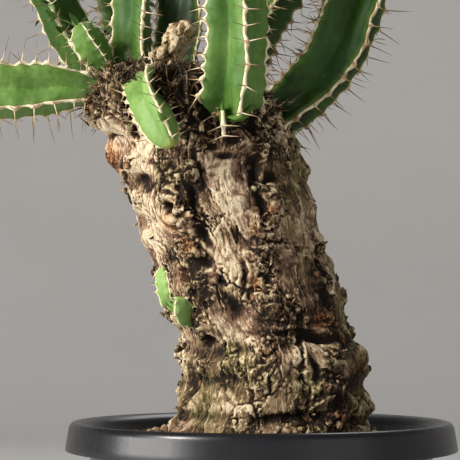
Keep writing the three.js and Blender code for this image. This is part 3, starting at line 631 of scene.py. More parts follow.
class Finish:
    """A material that is built node by node."""

    def __init__(self, name):
        self.material = bpy.data.materials.new(name)
        self.material.use_nodes = True
        self.tree = self.material.node_tree
        self.shader = self.tree.nodes["Principled BSDF"]

    def constants(self, **values):
        """Sets the shader's own sockets, whose names are given with underscores."""
        for name, value in values.items():
            self.shader.inputs[name.replace("_", " ")].default_value = value

    def feed(self, socket, value):
        if isinstance(value, Signal):
            self.tree.links.new(value.socket, socket)
        else:
            socket.default_value = value

    def make(self, kind, settings=None, inputs=None, output=0):
        """Adds a node with its settings and the values or links of its sockets."""
        node = self.tree.nodes.new("ShaderNode" + kind)
        for name, value in (settings or {}).items():
            if name == "stops":
                self._set_stops(node.color_ramp.elements, value)
            else:
                setattr(node, name, value)
        for name, value in (inputs or {}).items():
            self.feed(node.inputs[name], value)
        return Signal(self, node.outputs[output])

    @staticmethod
    def _set_stops(elements, stops):
        while len(elements) < len(stops):
            elements.new(1.0)
        for element, (position, colour) in zip(elements, stops):
            element.position = position
            element.color = (*colour, 1)

    def tones(self, *names):
        """The tones that a shape carries at its points."""
        return [self.make("Attribute", {"attribute_name": name}, output="Fac") for name in names]

    @staticmethod
    def settings(*names):
        """Colours from the add-on's settings."""
        return [tuple(getattr(bpy.context.scene.euphorbia_colours, name)) for name in names]

    def millimetres(self):
        """The piece's own coordinates in millimetres."""
        place = self.make("TexCoord", output="Object")
        return self.make("VectorMath", {"operation": "SCALE"}, {0: place, "Scale": 1 / MM})

    def noise(self, stretch, scale, detail=3.0, roughness=0.5, distortion=0.0, place=None, output="Fac"):
        """Noise at a place in millimetres, stretched by a factor along each axis."""
        stretched = self.make("VectorMath", {"operation": "MULTIPLY"},
                              {0: place or self.millimetres(), 1: stretch})
        return self.make("TexNoise", None, {"Vector": stretched, "Scale": scale, "Detail": detail,
                                            "Roughness": roughness, "Distortion": distortion}, output)

    def cracks(self, stretch, scale, width, bend, place):
        """1 along the edges of uneven cells, and 0 away from them."""
        wander = self.noise((1, 1, 1), scale * 2.2, place=place, output="Color")
        offset = self.make("VectorMath", {"operation": "MULTIPLY_ADD"},
                           {0: wander, 1: (bend, bend, bend), 2: place})
        stretched = self.make("VectorMath", {"operation": "MULTIPLY"}, {0: offset, 1: stretch})
        edge = self.make("TexVoronoi", {"feature": "DISTANCE_TO_EDGE"},
                         {"Vector": stretched, "Scale": scale}, "Distance")
        return 1 - edge.between(0.0, width)

    def ramp(self, share, stops):
        return self.make("ValToRGB", {"stops": stops}, {"Fac": share})

    def blend(self, share, low, high):
        low, high = ((*colour, 1) if isinstance(colour, tuple) else colour for colour in (low, high))
        return self.make("Mix", {"data_type": "RGBA"}, {0: share, 6: low, 7: high}, output=2)

    def colour(self, value):
        self.feed(self.shader.inputs["Base Color"], value)

    def roughness(self, value):
        self.feed(self.shader.inputs["Roughness"], value)

    def bump(self, height, distance, strength):
        raised = self.make("Bump", None, {"Strength": strength, "Distance": distance * MM, "Height": height})
        self.feed(self.shader.inputs["Normal"], raised)


def finished(build):
    """The material that a function sets up, made on its first use."""
    material = bpy.data.materials.get(build.__name__)
    if material is None:
        finish = Finish(build.__name__)
        build(finish)
        material = finish.material
    return material


def bark_finish(finish):
    finish.constants(Roughness=0.86, Specular_IOR_Level=0.25)
    hollow, scar, plate, crust, blush, olive, rust = finish.tones(
        "hollow", "scar", "plate", "crust", "blush", "olive", "rust")
    grain = finish.make("Attribute", {"attribute_name": "grain"}, output="Vector")
    fibres = finish.noise((1, 1, 0.13), 0.95, detail=6, roughness=0.66, distortion=0.5, place=grain)
    grit = finish.noise((1, 1, 0.75), 1.5, detail=5, roughness=0.66)
    clouds = finish.noise((1, 1, 0.5), 0.07, detail=3)
    wide = finish.cracks((1, 1, 0.34), 0.15, 0.075, 5.0, grain)
    thin = finish.cracks((1, 1, 0.22), 0.42, 0.1, 2.0, grain)
    # Over the crown the crust tone is painted shade as well as dark crust; it darkens the colour and adds
    # soot.
    soot = (1 - grit.between(0.36, 0.52)) * (0.25 + 0.9 * scar + 0.9 * crust.between(0.0, 1.0))
    # Painted shade: the colour darkens in the bark's recesses and clefts and at the feet of bits, and
    # lightens on raised places where the shade tone is negative.
    share = (0.56 + (0.9 - 0.5 * blush) * (fibres - 0.5) + (0.65 - 0.4 * blush) * (grit - 0.5)
             + 0.2 * (plate - 0.5) + 0.4 * (clouds - 0.5) - 0.43 * hollow - 0.08 * scar - 0.4 * crust
             - 0.26 * wide * fibres.between(0.3, 0.5) - 0.2 * thin * clouds.between(0.4, 0.6) - 0.3 * soot)
    dark, middle, light, pale = finish.settings("bark_dark", "bark_middle", "bark_light", "bark_pale")
    darkish = tuple(mix(low, high, 0.35) for low, high in zip(dark, middle))
    colour = finish.ramp(share, [(0.14, dark), (0.34, darkish), (0.5, middle), (0.66, light), (0.9, pale)])
    pinkish = finish.ramp(share, [
        (0.12, dark), (0.47, (0.19, 0.104, 0.066)), (0.7, (0.38, 0.232, 0.156)), (0.95, pale)])
    greenish = finish.ramp(share, [
        (0.12, dark), (0.5, (0.13, 0.105, 0.035)), (0.75, (0.33, 0.275, 0.125)), (0.95, pale)])
    rusty = finish.ramp(share, [
        (0.1, (0.02, 0.008, 0.004)), (0.4, (0.17, 0.06, 0.02)), (0.7, (0.45, 0.2, 0.07)),
        (0.95, (0.62, 0.42, 0.22))])
    colour = finish.blend(blush, colour, pinkish)
    colour = finish.blend(olive * (0.4 + 0.9 * clouds), colour, greenish)
    finish.colour(finish.blend(rust, colour, rusty))
    finish.bump((1.05 - 0.6 * blush) * (0.55 * fibres + 0.65 * grit) - 0.45 * wide - 0.3 * thin, 1.0, 0.85)


def skin_finish(finish):
    finish.constants(Specular_IOR_Level=0.2)
    rib, grown, light = finish.tones("rib", "grown", "light")
    clouds = finish.noise((1, 1, 0.6), 0.06, detail=3)
    fine = finish.noise((1, 1, 1), 0.55, detail=5, roughness=0.62)
    flecks = finish.noise((1, 1, 1), 2.6, detail=2)
    streaks = finish.noise((1, 1, 0.12), 0.45, detail=4)
    scratches = finish.noise((1.0, 0.6, 0.16), 1.3, detail=1, distortion=1.2)
    deep, middle, bright = finish.settings("stem_deep", "stem_middle", "stem_bright")
    # Painted shade: the light tone keeps the green dark on stems that stand in shadow, such as right_main and
    # rear_mid; elsewhere it is the green's own lightness.
    share = (light + 0.75 * (clouds - 0.5) + 0.3 * (fine - 0.5) + 0.2 * (streaks - 0.5)
             + 0.1 * (rib - 0.4))
    colour = finish.ramp(share, [(0.05, deep), (0.45, middle), (0.9, bright)])
    cool = finish.noise((1, 1, 0.8), 0.045, detail=2)
    colour = finish.blend(cool.between(0.45, 0.65) * (0.5 - 0.4 * light), colour, (0.035, 0.105, 0.035))
    for mark, low, high, strength, tint in (
            (rib, 0.93, 1.0, 0.4, (0.16, 0.27, 0.05)),
            (grown, 0.9, 1.0, 0.6, (0.45, 0.46, 0.1)),
            (flecks, 0.7, 0.78, 0.35, (0.4, 0.46, 0.27)),
            (scratches, 0.73, 0.8, 0.45, (0.34, 0.3, 0.16))):
        colour = finish.blend(mark.between(low, high) * strength, colour, tint)
    cork = (1 - grown.between(0.02, 0.1)) * fine.between(0.35, 0.6)
    finish.colour(finish.blend(cork, colour, (0.3, 0.22, 0.12)))
    finish.roughness(0.44 + 0.18 * (fine - 0.5) + 0.25 * cork)
    finish.bump(0.7 * fine + 0.3 * streaks, 0.5, 0.22)


def horn_finish(finish):
    finish.constants(Roughness=0.55, Specular_IOR_Level=0.35)
    (tone,) = finish.tones("tone")
    fine = finish.noise((1, 1, 1), 0.9, detail=5, roughness=0.65)
    patches = finish.noise((1, 1, 1), 0.22, detail=3)
    share = tone + 0.55 * (fine - 0.5) + 0.6 * (patches - 0.5)
    (cream,) = finish.settings("horn")
    finish.colour(finish.ramp(share, [
        (0.16, cream),
        (0.36, tuple(part * factor for part, factor in zip(cream, (0.72, 0.6, 0.5)))),
        (0.55, (0.32, 0.19, 0.09)),
        (0.75, (0.12, 0.055, 0.03)),
        (0.95, (0.035, 0.017, 0.012)),
    ]))
    finish.bump(fine, 0.35, 0.5)


def soil_finish(finish):
    finish.constants(Roughness=0.95, Specular_IOR_Level=0.2)
    (kind,) = finish.tones("kind")
    fine = finish.noise((1, 1, 1), 0.8, detail=5, roughness=0.7)
    share = kind + 0.3 * (fine - 0.5)
    finish.colour(finish.ramp(share, [
        (0.05, (0.014, 0.01, 0.007)), (0.35, (0.06, 0.036, 0.02)), (0.55, (0.17, 0.1, 0.052)),
        (0.75, (0.36, 0.25, 0.15)), (0.95, (0.58, 0.5, 0.38))]))
    finish.bump(fine, 0.8, 0.7)


def pot_finish(finish):
    finish.constants(Specular_IOR_Level=0.48)
    clouds = finish.noise((1, 1, 1), 0.03, detail=4)
    grain = finish.noise((1, 1, 1), 2.2, detail=3)
    drips = finish.noise((1, 1, 0.05), 0.28, detail=4, roughness=0.6)
    dust = finish.noise((1, 1, 1), 0.5, detail=6, roughness=0.75)
    (black,) = finish.settings("pot")
    worn = tuple(part * 1.5 + 0.002 for part in black)
    colour = finish.blend(clouds.between(0.35, 0.7), black, worn)
    finish.colour(finish.blend(dust.between(0.64, 0.8) * 0.2, colour, (0.2, 0.19, 0.17)))
    finish.roughness(0.29 + 0.1 * (clouds - 0.5) + 0.12 * (drips - 0.5) + 0.3 * dust.between(0.62, 0.8))
    finish.bump(0.7 * grain + 0.3 * drips, 0.12, 0.25)


def floor_finish(finish):
    finish.constants(Roughness=0.8, Specular_IOR_Level=0.3)
    clouds = finish.noise((1, 1, 1), 0.004, detail=3)
    (pale,) = finish.settings("floor")
    shaded = tuple(part * 0.94 for part in pale)
    finish.colour(finish.blend(clouds, shaded, pale))


# Trunk

def scar_spots():
    """Bearings in degrees and heights of the knots that the grain runs round."""
    spots = [(lump[0], lump[1]) for lump in TRUNK_LUMPS if lump[2] > 3]
    for row in range(SCAR_ROWS):
        first = -SCAR_ROW_SHIFT * row / (2 * math.pi)
        for beat in range(8, 20):
            height = SCAR_SPACING * (beat + first)
            if BARK_FROM < height < TRUNK_ROWS[-1][0]:
                drift = SCAR_ROW_DRIFT * (height - SCAR_ROW_MIDDLE_HEIGHT)
                spots.append((SCAR_ROW_AT_MIDDLE + row * 360 / SCAR_ROWS + drift, height))
    return spots


def across_from(degrees, bearing, half_width):
    """How far round the trunk places lie from a bearing, in millimetres."""
    return wrapped(bearing - np.radians(degrees)) * half_width


def scar_cover(bearing, height, half_width):
    """How much of the bark at a place is gnarled scar, from 0 to 1, and its regular rise."""
    cover = np.zeros_like(bearing)
    rise = np.zeros_like(bearing)
    drift = SCAR_ROW_DRIFT * (height - SCAR_ROW_MIDDLE_HEIGHT)
    for row in range(SCAR_ROWS):
        across = across_from(SCAR_ROW_AT_MIDDLE + row * 360 / SCAR_ROWS + drift, bearing, half_width)
        beat = 0.5 + 0.5 * np.cos(2 * math.pi * height / SCAR_SPACING + row * SCAR_ROW_SHIFT)
        rise += SCAR_RISE * bell(across, SCAR_HALF_WIDTH) * beat
        cover = np.maximum(cover, bell(across, SCAR_HALF_WIDTH * 1.05) * (0.45 + 0.55 * beat))
    return cover, rise


def spots_cover(spots, bearing, height, half_width):
    """The strongest of several soft spots, each bearing, height, half-width and half-height."""
    cover = np.zeros_like(bearing)
    for degrees, level, width, tall in spots:
        across = across_from(degrees, bearing, half_width)
        cover = np.maximum(cover, np.exp(-((across / width) ** 2 + ((height - level) / tall) ** 2) ** 1.5))
    return cover


def with_bumps(relief, spots, bearing, height, half_width, wander=0.0):
    """Relief with soft bumps on it, each bearing, height, rise, half-width and half-height."""
    for degrees, level, rise, width, tall in spots:
        across = across_from(degrees, bearing, half_width) + wander * np.sin(height / 3.1 + degrees)
        relief = relief + rise * bell(across, width) * bell(height - level, tall)
    return relief


def macro_relief(bearing, height, half_width, scar_rise):
    """How far the swellings and creases stand out, in millimetres."""
    relief = with_bumps(scar_rise, TRUNK_LUMPS, bearing, height, half_width)
    for index, (level, depth, tall, wander) in enumerate(TRUNK_CREASES):
        centre = level + wander * np.sin(2 * bearing + 1.7 * index)
        relief -= depth * bell(height - centre, tall)
    return relief


def knot_relief(bearing, height, half_width):
    relief = np.zeros_like(bearing)
    for degrees, level, hole, depth, reach in KNOTS:
        across, rise = across_from(degrees, bearing, half_width), height - level
        spread = np.hypot(across, rise) * (1 + 0.12 * np.sin(3 * np.arctan2(rise, across) + degrees))
        wobble = 1.6 * np.sin(2.3 * bearing * half_width / hole) * np.cos(height / 2.7) * (spread / reach)
        rings = 0.9 * np.cos(2 * math.pi * (spread + wobble - hole - 1.2) / 4.2)
        rings = rings * smooth_step(hole - 1, hole + 0.6, spread)
        relief += rings * bell(spread, 0.75 * reach) - depth * (1 - smooth_step(0.35 * hole, hole, spread))
    return relief


def grain_places(bearing, height, half_width):
    """Places on a straight cylinder whose upright lines follow the grain round the knots."""
    shift = np.zeros_like(bearing)
    for degrees, level in scar_spots():
        across = across_from(degrees, bearing, half_width)
        distance = across ** 2 + ((height - level) / 1.5) ** 2
        shift -= across * 26 / (distance + 34)
    turn = bearing + shift / half_width
    return np.stack([GRAIN_RADIUS * np.sin(turn), GRAIN_RADIUS * np.cos(turn), height], -1)


def bark_detail(places, grain, scar, smooth):
    """Fine relief of the bark in millimetres, a random number for each plate and the bent grain."""
    bent = grain + 6.5 * noise_vector(places / 24, 21) + 2.2 * noise_vector(places / 8, 24)
    rough = 1 - 0.85 * smooth
    jagged = bent + 0.9 * noise_vector(places / 2.6, 27)
    near, second, plate = cells(jagged * (1 / 13, 1 / 13, 1 / 27), 31)
    edge = second - near
    curled = 0.7 * bell(edge - 0.13, 0.05) * (plate > 0.3)
    relief = rough * (1.5 * (plate - 0.5) * smooth_step(0.02, 0.1, edge) + curled - 1.2 * bell(edge, 0.035))
    long_cracks = noise(jagged * (1 / 7, 1 / 7, 1 / 34), 41)
    relief -= 1.3 * rough * bell(long_cracks, 0.04) * smooth_step(-0.2, 0.3, noise(bent / 15, 42))
    short_cracks = noise(jagged * (1 / 3, 1 / 3, 1 / 11), 45)
    cracked = smooth_step(-0.1, 0.3, noise(places / 9, 46))
    relief -= 0.5 * bell(short_cracks, 0.06) * (1 - 0.7 * smooth) * cracked
    streaks = 1 - 2 * np.abs(noise(bent * (1 / 2.4, 1 / 2.4, 1 / 16), 43))
    relief += 0.16 * streaks * (1 - 0.4 * smooth)
    relief += 1.2 * layered_noise(places / 13, 51)
    near, second, knob = cells(places / 2.6 + 0.5 * noise_vector(places / 4, 61), 62)
    knobs = 1.0 * (1 - smooth_step(0, 0.75, near)) - 0.5 + 1.0 * (knob - 0.5) - 1.2 * (knob < 0.2)
    folds = 0.6 - 2.5 * np.abs(noise(bent / (3.2, 3.2, 5.6) + 0.9 * noise_vector(places / 5, 64), 63))
    blocky = smooth_step(-0.15, 0.15, noise(places / 10, 65))
    relief += scar * (blocky * knobs + (1 - 0.5 * blocky) * folds)
    relief += (0.12 + 0.45 * scar) * rough * noise(places / 1.5, 71)
    return relief, plate, bent


def outline_heights(count):
    """Heights of rings that lie evenly along the trunk's outline, with a few below the soil."""
    fine = np.linspace(TRUNK_FINE_FROM, TRUNK_ROWS[-1][0], OUTLINE_STEPS)
    width = along_rows(TRUNK_ROWS, fine)[:, 3]
    run = np.concatenate([[0], np.cumsum(np.hypot(np.diff(fine), np.diff(width)))])
    even = np.interp(np.linspace(0, run[-1], count), run, fine)
    return np.concatenate([BURIED_RINGS, even])


def trunk_skin(heights, sides):
    """The bark's places in millimetres, their outward directions and the tones of their finish."""
    bearing, height = np.meshgrid(full_turn(sides), heights)
    rows = along_rows(TRUNK_ROWS, height)
    half_width = np.maximum(rows[..., 3], 0.4)
    steady = np.maximum(half_width, 12)
    scar, scar_rise = scar_cover(bearing, height, steady)
    shown = smooth_step(BARK_FROM - BARK_FADE, BARK_FROM + BARK_FADE, height)
    top = 1 - smooth_step(*TRUNK_TOP_FADE, height)
    relief = macro_relief(bearing, height, steady, scar_rise) * shown * top
    around = level_directions(bearing)
    middle = np.stack([rows[..., 1], rows[..., 2], height], -1)
    base = middle + around * (half_width + relief)[..., None]
    sideways = np.roll(base, -1, axis=1) - np.roll(base, 1, axis=1)
    upward = np.gradient(base, axis=0)
    outward = unit(np.cross(sideways, upward) + 1e-9 * around)
    grain = grain_places(bearing, height, steady)
    smooth = spots_cover(SMOOTH_PLATES, bearing, height, steady)
    crown = smooth_step(*CROWN_FROM, height + 5 * noise(base / 9, 81))
    calm = smooth_step(-0.12, 0.22, noise(base / (13, 13, 22), 97)) * (1 - crown)
    smooth = np.maximum(smooth, 0.85 * calm * (1 - 0.8 * smooth_step(0.1, 0.6, scar)))
    scar = np.clip(scar * (1.15 + 0.9 * noise(base / 7, 82)) - 0.25, 0, 1) * (1 - 0.85 * smooth)
    scar = np.maximum(scar * (1 - 0.85 * crown), 0.12 * crown)
    crust = sum(darkness * spots_cover([(degrees, level, width, tall)], bearing, height, steady)
                for degrees, level, width, tall, darkness in CRUSTS_AND_CROWN_SHADE)
    # Painted shade: the crust tone rises towards the top of the crown, which lies in the shade of the stems.
    crust = crust + 0.35 * noise(base / 9, 83) + 0.8 * smooth_step(288, 300, height)
    scar = np.maximum(scar, 0.6 * np.clip(crust, 0, 1) * (1 - 0.8 * crown))
    detail, plate, bent = bark_detail(base, grain, scar, smooth)
    folds = 0.7 - 2.6 * np.abs(noise(base / (9, 9, 15) + 0.9 * noise_vector(base / 12, 95), 94))
    detail = detail + knot_relief(bearing, height, steady) + 3.2 * folds * smooth_step(270, 290, height)
    clefts = with_bumps(0, CLEFTS, bearing, height, steady, wander=1.2)
    strength = bpy.context.scene.euphorbia_sizes.bark_relief
    depth = (strength * detail - clefts) * shown * (0.25 + 0.75 * top)
    places = base + outward * depth[..., None]
    relief = relief + depth
    # Painted shade and light: recesses and clefts are darkened, and raised places lightened, by how far the
    # relief sinks below its neighbours.
    hollow = (softened(relief, 1) - relief) / 0.5 + (softened(relief, 4) - relief) / 2.2 + clefts / 4
    noise_wide = noise(base / 22, 91)
    degrees = np.degrees(bearing) % 360
    side = smooth_step(20, 75, degrees) * smooth_step(235, 180, degrees)
    olive = 0.55 * side + 0.6 * smooth_step(205, 160, height) - 0.2 + 0.4 * noise(base / 16, 92)
    olive = olive + 0.9 * spots_cover(OLIVE_SPOTS, bearing, height, steady)
    tones = {
        "hollow": np.clip(hollow, -1.1, 2),
        "scar": scar,
        "plate": plate,
        "blush": np.clip(0.75 * smooth + 0.35 * noise_wide + 0.15, 0, 0.85) * (1 - scar),
        "olive": np.clip(olive, 0, 0.95) * (1 - 0.6 * scar),
        "crust": np.clip(crust - 0.25 * smooth, -1.1, 1.2),
        "grain": bent,
        "rust": 0.8 * spots_cover([(b, z, s, s) for b, z, s in RUSTY_SPOTS], bearing, height, steady),
    }
    return places, outward, tones


def build_trunk():
    shape = bmesh.new()
    places, _, tones = trunk_skin(outline_heights(TRUNK_RINGS), TRUNK_SIDES)
    add_tube(shape, places, **tones)
    piece_from(shape, "caudex_trunk", bark_finish, ["trunk"])


def stump_places(points, seed):
    """Rings of a gnarled old stump along its points, each with a radius."""
    points = np.array(points, float)
    along = read_at(np.linspace(0, len(points) - 1, STUMP_RINGS), np.arange(len(points)), points)
    around = level_directions(full_turn(STUMP_SIDES))
    cap = np.sqrt(np.clip(1 - smooth_step(36, 39.2, np.arange(STUMP_RINGS)), 0.02, 1))
    places = along[:, None, :3] + around * (along[:, 3] * cap)[:, None, None]
    twisted = places + 2.5 * noise_vector(places / 9, seed + 1)
    near, second, number = cells(twisted / (4.2, 4.2, 10), seed)
    streaks = 1 - 2.4 * np.abs(noise(twisted / (1.7, 1.7, 8), seed + 2))
    swell = 1.5 * (number - 0.5) - 1.4 * bell(second - near, 0.07) + 0.75 * streaks
    swell = swell + 0.7 * noise(places / 1.5, seed)
    swell += 2.0 * noise(places / 6, seed + 3) - 1.2 * bell(noise(twisted / (3.1, 3.1, 15), seed + 4), 0.07)
    places = places + around * (swell * cap[:, None])[..., None]
    places[..., 2] += 1.5 * noise(places / 3, seed + 5)
    # The second value is painted shade: darker where the stump's surface sinks and lighter where it swells.
    return places, np.clip(-swell / 1.3, -0.9, 1.6), number


def build_stumps():
    shape = bmesh.new()
    for index, points in enumerate(STUMPS):
        places, hollow, number = stump_places(points, SEEDS["stumps"] + index)
        add_tube(shape, places, hollow=hollow, scar=0.0, plate=number, blush=0.0, olive=0.75, rust=0.25,
                 crust=-0.9)
    lay_grain(shape)
    piece_from(shape, "crown_stumps", bark_finish)


def scattered_spots(random, weight, count):
    """Ring and side numbers drawn from a grid by weight."""
    share = (weight / weight.sum()).ravel()
    return np.unravel_index(random.choice(share.size, count, p=share), weight.shape)


def build_bark_bits():
    """Flakes, corky crumbs and old spines that cling to the scars and the crown."""
    random = np.random.default_rng(SEEDS["bits"])
    heights = np.linspace(BARK_FROM + 3, BITS_TOP, BITS_RINGS)
    places, outward, tones = trunk_skin(heights, BITS_SIDES)
    shape = bmesh.new()
    crumbs = [crumb_pattern(seed) for seed in (3, 4, 5, 6)]
    flakes = [flake_pattern(seed) for seed in range(1, 7)]
    spines = [spine_pattern(bend) for bend in (0.1, 0.4, 0.8, 1.3)]
    crown = smooth_step(282, 298, heights)[:, None]
    girth = np.maximum(along_rows(TRUNK_ROWS, heights)[:, 3:], 1) / GRAIN_RADIUS
    scar = tones["scar"]
    kinds = [
        (crumbs, scar ** 1.5 * girth * (1 - 0.9 * crown), *CRUMBS),
        (flakes, (0.02 + scar ** 2 + 0.6 * crown) * girth, *FLAKES),
        (spines, (scar ** 3 * 0.1 + 2 * crown ** 2) * girth, *OLD_SPINES),
    ]
    for patterns, weight, count, small, large, lean in kinds:
        for ring, side in zip(*scattered_spots(random, weight, count)):
            out = outward[ring, side]
            upward = out * (0.35 + random.random()) + lean * random.normal(size=3)
            size = mix(small, large, random.random() ** 1.6)
            width = size if patterns is not spines else 0.48
            if patterns is flakes:
                upward = out * 0.3 + random.normal(size=3) * 0.3 + (0, 0, 0.8 * random.choice((-1, 1)))
            # Painted shade at each bit's foot where it meets the bark; its tip gets a random tone, mostly
            # lighter.
            add_copy(shape, places[ring, side] - 0.3 * out, upward, random.normal(size=3),
                     (width * mix(0.7, 1.2, random.random()), width, size),
                     patterns[random.integers(len(patterns))],
                     hollow=(0.6, mix(-1.1, 0.2, random.random())), scar=0.0, plate=random.random(),
                     blush=0.2 * random.random(), olive=0.1, rust=0.45 * (random.random() < 0.18), crust=0.0)
    add_collars(shape, random, flakes, spines)
    lay_grain(shape)
    piece_from(shape, "bark_bits", bark_finish)


def add_collars(shape, random, flakes, spines):
    """Dry scales and old spines round the foot of each stem."""
    for stem in STEMS:
        distances = mix(*COLLAR_REACH, random.random(COLLAR_BITS))
        middle, along, front, side = stem_frames(stem.path, distances)
        radius, _ = stem_girth(stem, path_length(stem.path), distances)
        for index in range(COLLAR_BITS):
            angle = random.random() * 2 * math.pi
            direction = front[index] * math.cos(angle) + side[index] * math.sin(angle)
            patterns, sizes = (flakes, (2.2, 5.0)) if index % 3 else (spines, (4, 8))
            pattern = patterns[random.integers(len(patterns))]
            size = mix(*sizes, random.random())
            width = size if index % 3 else 0.42
            lean = along[index] * mix(-0.4, 0.9, random.random())
            # Painted shade at each scale's and spine's foot where it meets the stem.
            add_copy(shape, middle[index] + direction * (radius[index] * 0.86),
                     direction * 0.7 + lean + 0.25 * random.normal(size=3), random.normal(size=3),
                     (width, width, size), pattern,
                     hollow=(0.8, mix(-0.8, 0.4, random.random())), scar=0.0, plate=random.random(),
                     blush=0.1, olive=0.0, rust=0.3 * (random.random() < 0.2), crust=0.1)


# Stems

def smooth_path(points):
    """A fine run of places along a smooth curve through the points, with distances along it."""
    points = np.array(points, float)
    padded = np.vstack([2 * points[0] - points[1], points, 2 * points[-1] - points[-2]])
    at = np.linspace(0, len(points) - 1, 120 * (len(points) - 1) + 1)
    index = np.minimum(at.astype(int), len(points) - 2)
    share = (at - index)[:, None]
    before, start, end, after = (padded[index + step] for step in range(4))
    fine = 0.5 * (2 * start + (end - before) * share + (2 * before - 5 * start + 4 * end - after) * share ** 2
                  + (3 * start - before - 3 * end + after) * share ** 3)
    run = np.concatenate([[0], np.cumsum(np.linalg.norm(np.diff(fine, axis=0), axis=1))])
    return fine, run


def path_length(points):
    return smooth_path(points)[1][-1]


def stem_frames(points, distances):
    """Middle, direction along and two cross directions, the first to the front, at distances."""
    fine, run = smooth_path(points)
    inside = np.clip(distances, 0, run[-1])
    tangents = unit(np.gradient(fine, run, axis=0))
    middle = read_at(inside, run, fine)
    along = unit(read_at(inside, run, tangents))
    middle = middle + along * (distances - inside)[:, None]
    front = np.array([0.0, -1.0, 0.0])
    front = unit(front - along * np.sum(along * front, axis=-1, keepdims=True))
    return middle, along, front, np.cross(along, front)


def foot_of(stem):
    """Distances between which a stem widens from its neck."""
    return FLARES.get(stem.name, FLARE)


def margin_start(stem):
    """Distance at which the margins of a stem begin."""
    return MARGIN_STARTS.get(stem.name, mix(*foot_of(stem), MARGIN_START))


def stem_girth(stem, length, distance):
    """Radius over the ribs and the share of it left in the valleys."""
    flare = smooth_step(*foot_of(stem), distance)
    full = mix(stem.low, stem.high, smooth_step(15, 65, distance))
    from_tip = np.clip((length - distance) / TIP_TAPER, 0, 1)
    full = full * mix(TIP_SHARE, 1, np.sin(from_tip * math.pi / 2))
    rounding = np.clip((length - distance) / TIP_ROUNDING, 0, 1)
    close = np.sqrt(1 - (1 - rounding) ** 2)
    radius = mix(NECK_RADIUS, full, flare) * np.maximum(close, 0.08)
    valley = mix(0.96, VALLEY_SHARES[stem.ribs], flare)
    return radius, mix(valley, 0.9, (1 - rounding) ** 2)


def rib_directions(stem, length, distances, front, side, rib, quarter=0.0):
    angle = np.radians(stem.turn + stem.twist * distances / length + rib * 360 / stem.ribs) + quarter
    return front * np.cos(angle)[:, None] + side * np.sin(angle)[:, None]


def rib_teeth(stem, rib):
    """Distances of a rib's teeth, unevenly spaced, and their sizes."""
    random = np.random.default_rng(sum(map(ord, stem.name)) * 10 + rib)
    steps = stem.pitch * random.uniform(0.72, 1.3, 60)
    teeth = margin_start(stem) + stem.pitch * mix(0.3, 0.8, random.random()) + np.cumsum(steps) - steps[0]
    sizes = random.uniform(0.5, 1.3, 60)
    kept = teeth < path_length(stem.path) - 3
    return teeth[kept], sizes[kept]


def tooth_rise(stem, distances, rib):
    """How far a rib stands out at its teeth, from 0 to about 1."""
    rise = np.zeros_like(distances)
    for tooth, size in zip(*rib_teeth(stem, rib)):
        rise = np.maximum(rise, size * bell(distances - tooth, 0.27 * stem.pitch))
    return rise


def stem_crest(stem, distances, rib):
    """Places of a rib's crest with its outward and across directions."""
    length = path_length(stem.path)
    middle, along, front, side = stem_frames(stem.path, distances)
    radius, _ = stem_girth(stem, length, distances)
    outward = rib_directions(stem, length, distances, front, side, rib)
    across = rib_directions(stem, length, distances, front, side, rib, math.pi / 2)
    spots = np.stack([distances / 21, distances * 0 + 7.3 * rib + len(stem.name), distances * 0], -1)
    reach = min(1.0, stem.high / RIB_WAVE_RADIUS) ** 2
    wave = reach * (RIB_WAVE * (tooth_rise(stem, distances, rib) - 0.4) + RIB_WANDER * noise(spots, 231))
    sway = reach * RIB_WANDER * noise(spots, 232)
    flare = smooth_step(*foot_of(stem), distances) * smooth_step(1, 14, length - distances)
    crest = middle + outward * (radius + wave * flare)[:, None] + across * (sway * flare)[:, None]
    return crest, outward, across, along


def stem_section(stem, distances):
    """Rings of the green body: flat crests with a smooth concave face between each two."""
    length = path_length(stem.path)
    middle, _, front, side = stem_frames(stem.path, distances)
    radius, valley = stem_girth(stem, length, distances)
    half = np.minimum(CREST_HALF_WIDTH, radius * 0.25)[:, None]
    columns, ribs = [], []
    for rib in range(stem.ribs):
        crest, _, across, _ = stem_crest(stem, distances, rib)
        following, _, next_across, _ = stem_crest(stem, distances, (rib + 1) % stem.ribs)
        start, end = crest + across * half, following - next_across * half
        between = rib + 0.5 + VALLEY_SHIFTS.get(stem.name, 0)
        downhill = rib_directions(stem, length, distances, front, side, between)
        lowest = middle + downhill * (radius * valley)[:, None]
        pull = lowest * (1 + 1 / VALLEY_PULL) - 0.5 * (start + end) / VALLEY_PULL
        columns.append(crest)
        ribs.append(1.0)
        for share in np.linspace(0, 1, FACE_STEPS):
            weights = (1 - share) ** 2, 2 * VALLEY_PULL * share * (1 - share), share ** 2
            columns.append((weights[0] * start + weights[1] * pull + weights[2] * end) / sum(weights))
            ribs.append(abs(2 * share - 1))
    return np.stack(columns, 1), np.array(ribs)


def build_stem(stem):
    length = path_length(stem.path)
    distances = np.linspace(0, length - 1.2, int(length / STEM_STEP))
    places, ribs = stem_section(stem, distances)
    middle = stem_frames(stem.path, distances)[0][:, None]
    outward = unit(places - middle)
    uneven = 1.1 * noise(places / 15, 203) + 0.3 * noise(places / 7, 201) + 0.12 * noise(places / 2.5, 202)
    places = places + outward * uneven[..., None]
    shape = bmesh.new()
    add_tube(shape, places, rib=ribs[None, :], grown=(distances / length)[:, None], light=stem.light)
    if stem.name == FIN_STEM:
        add_fins(shape, stem.light)
    piece_from(shape, "green_" + stem.name, skin_finish, ["stem_" + stem.name])


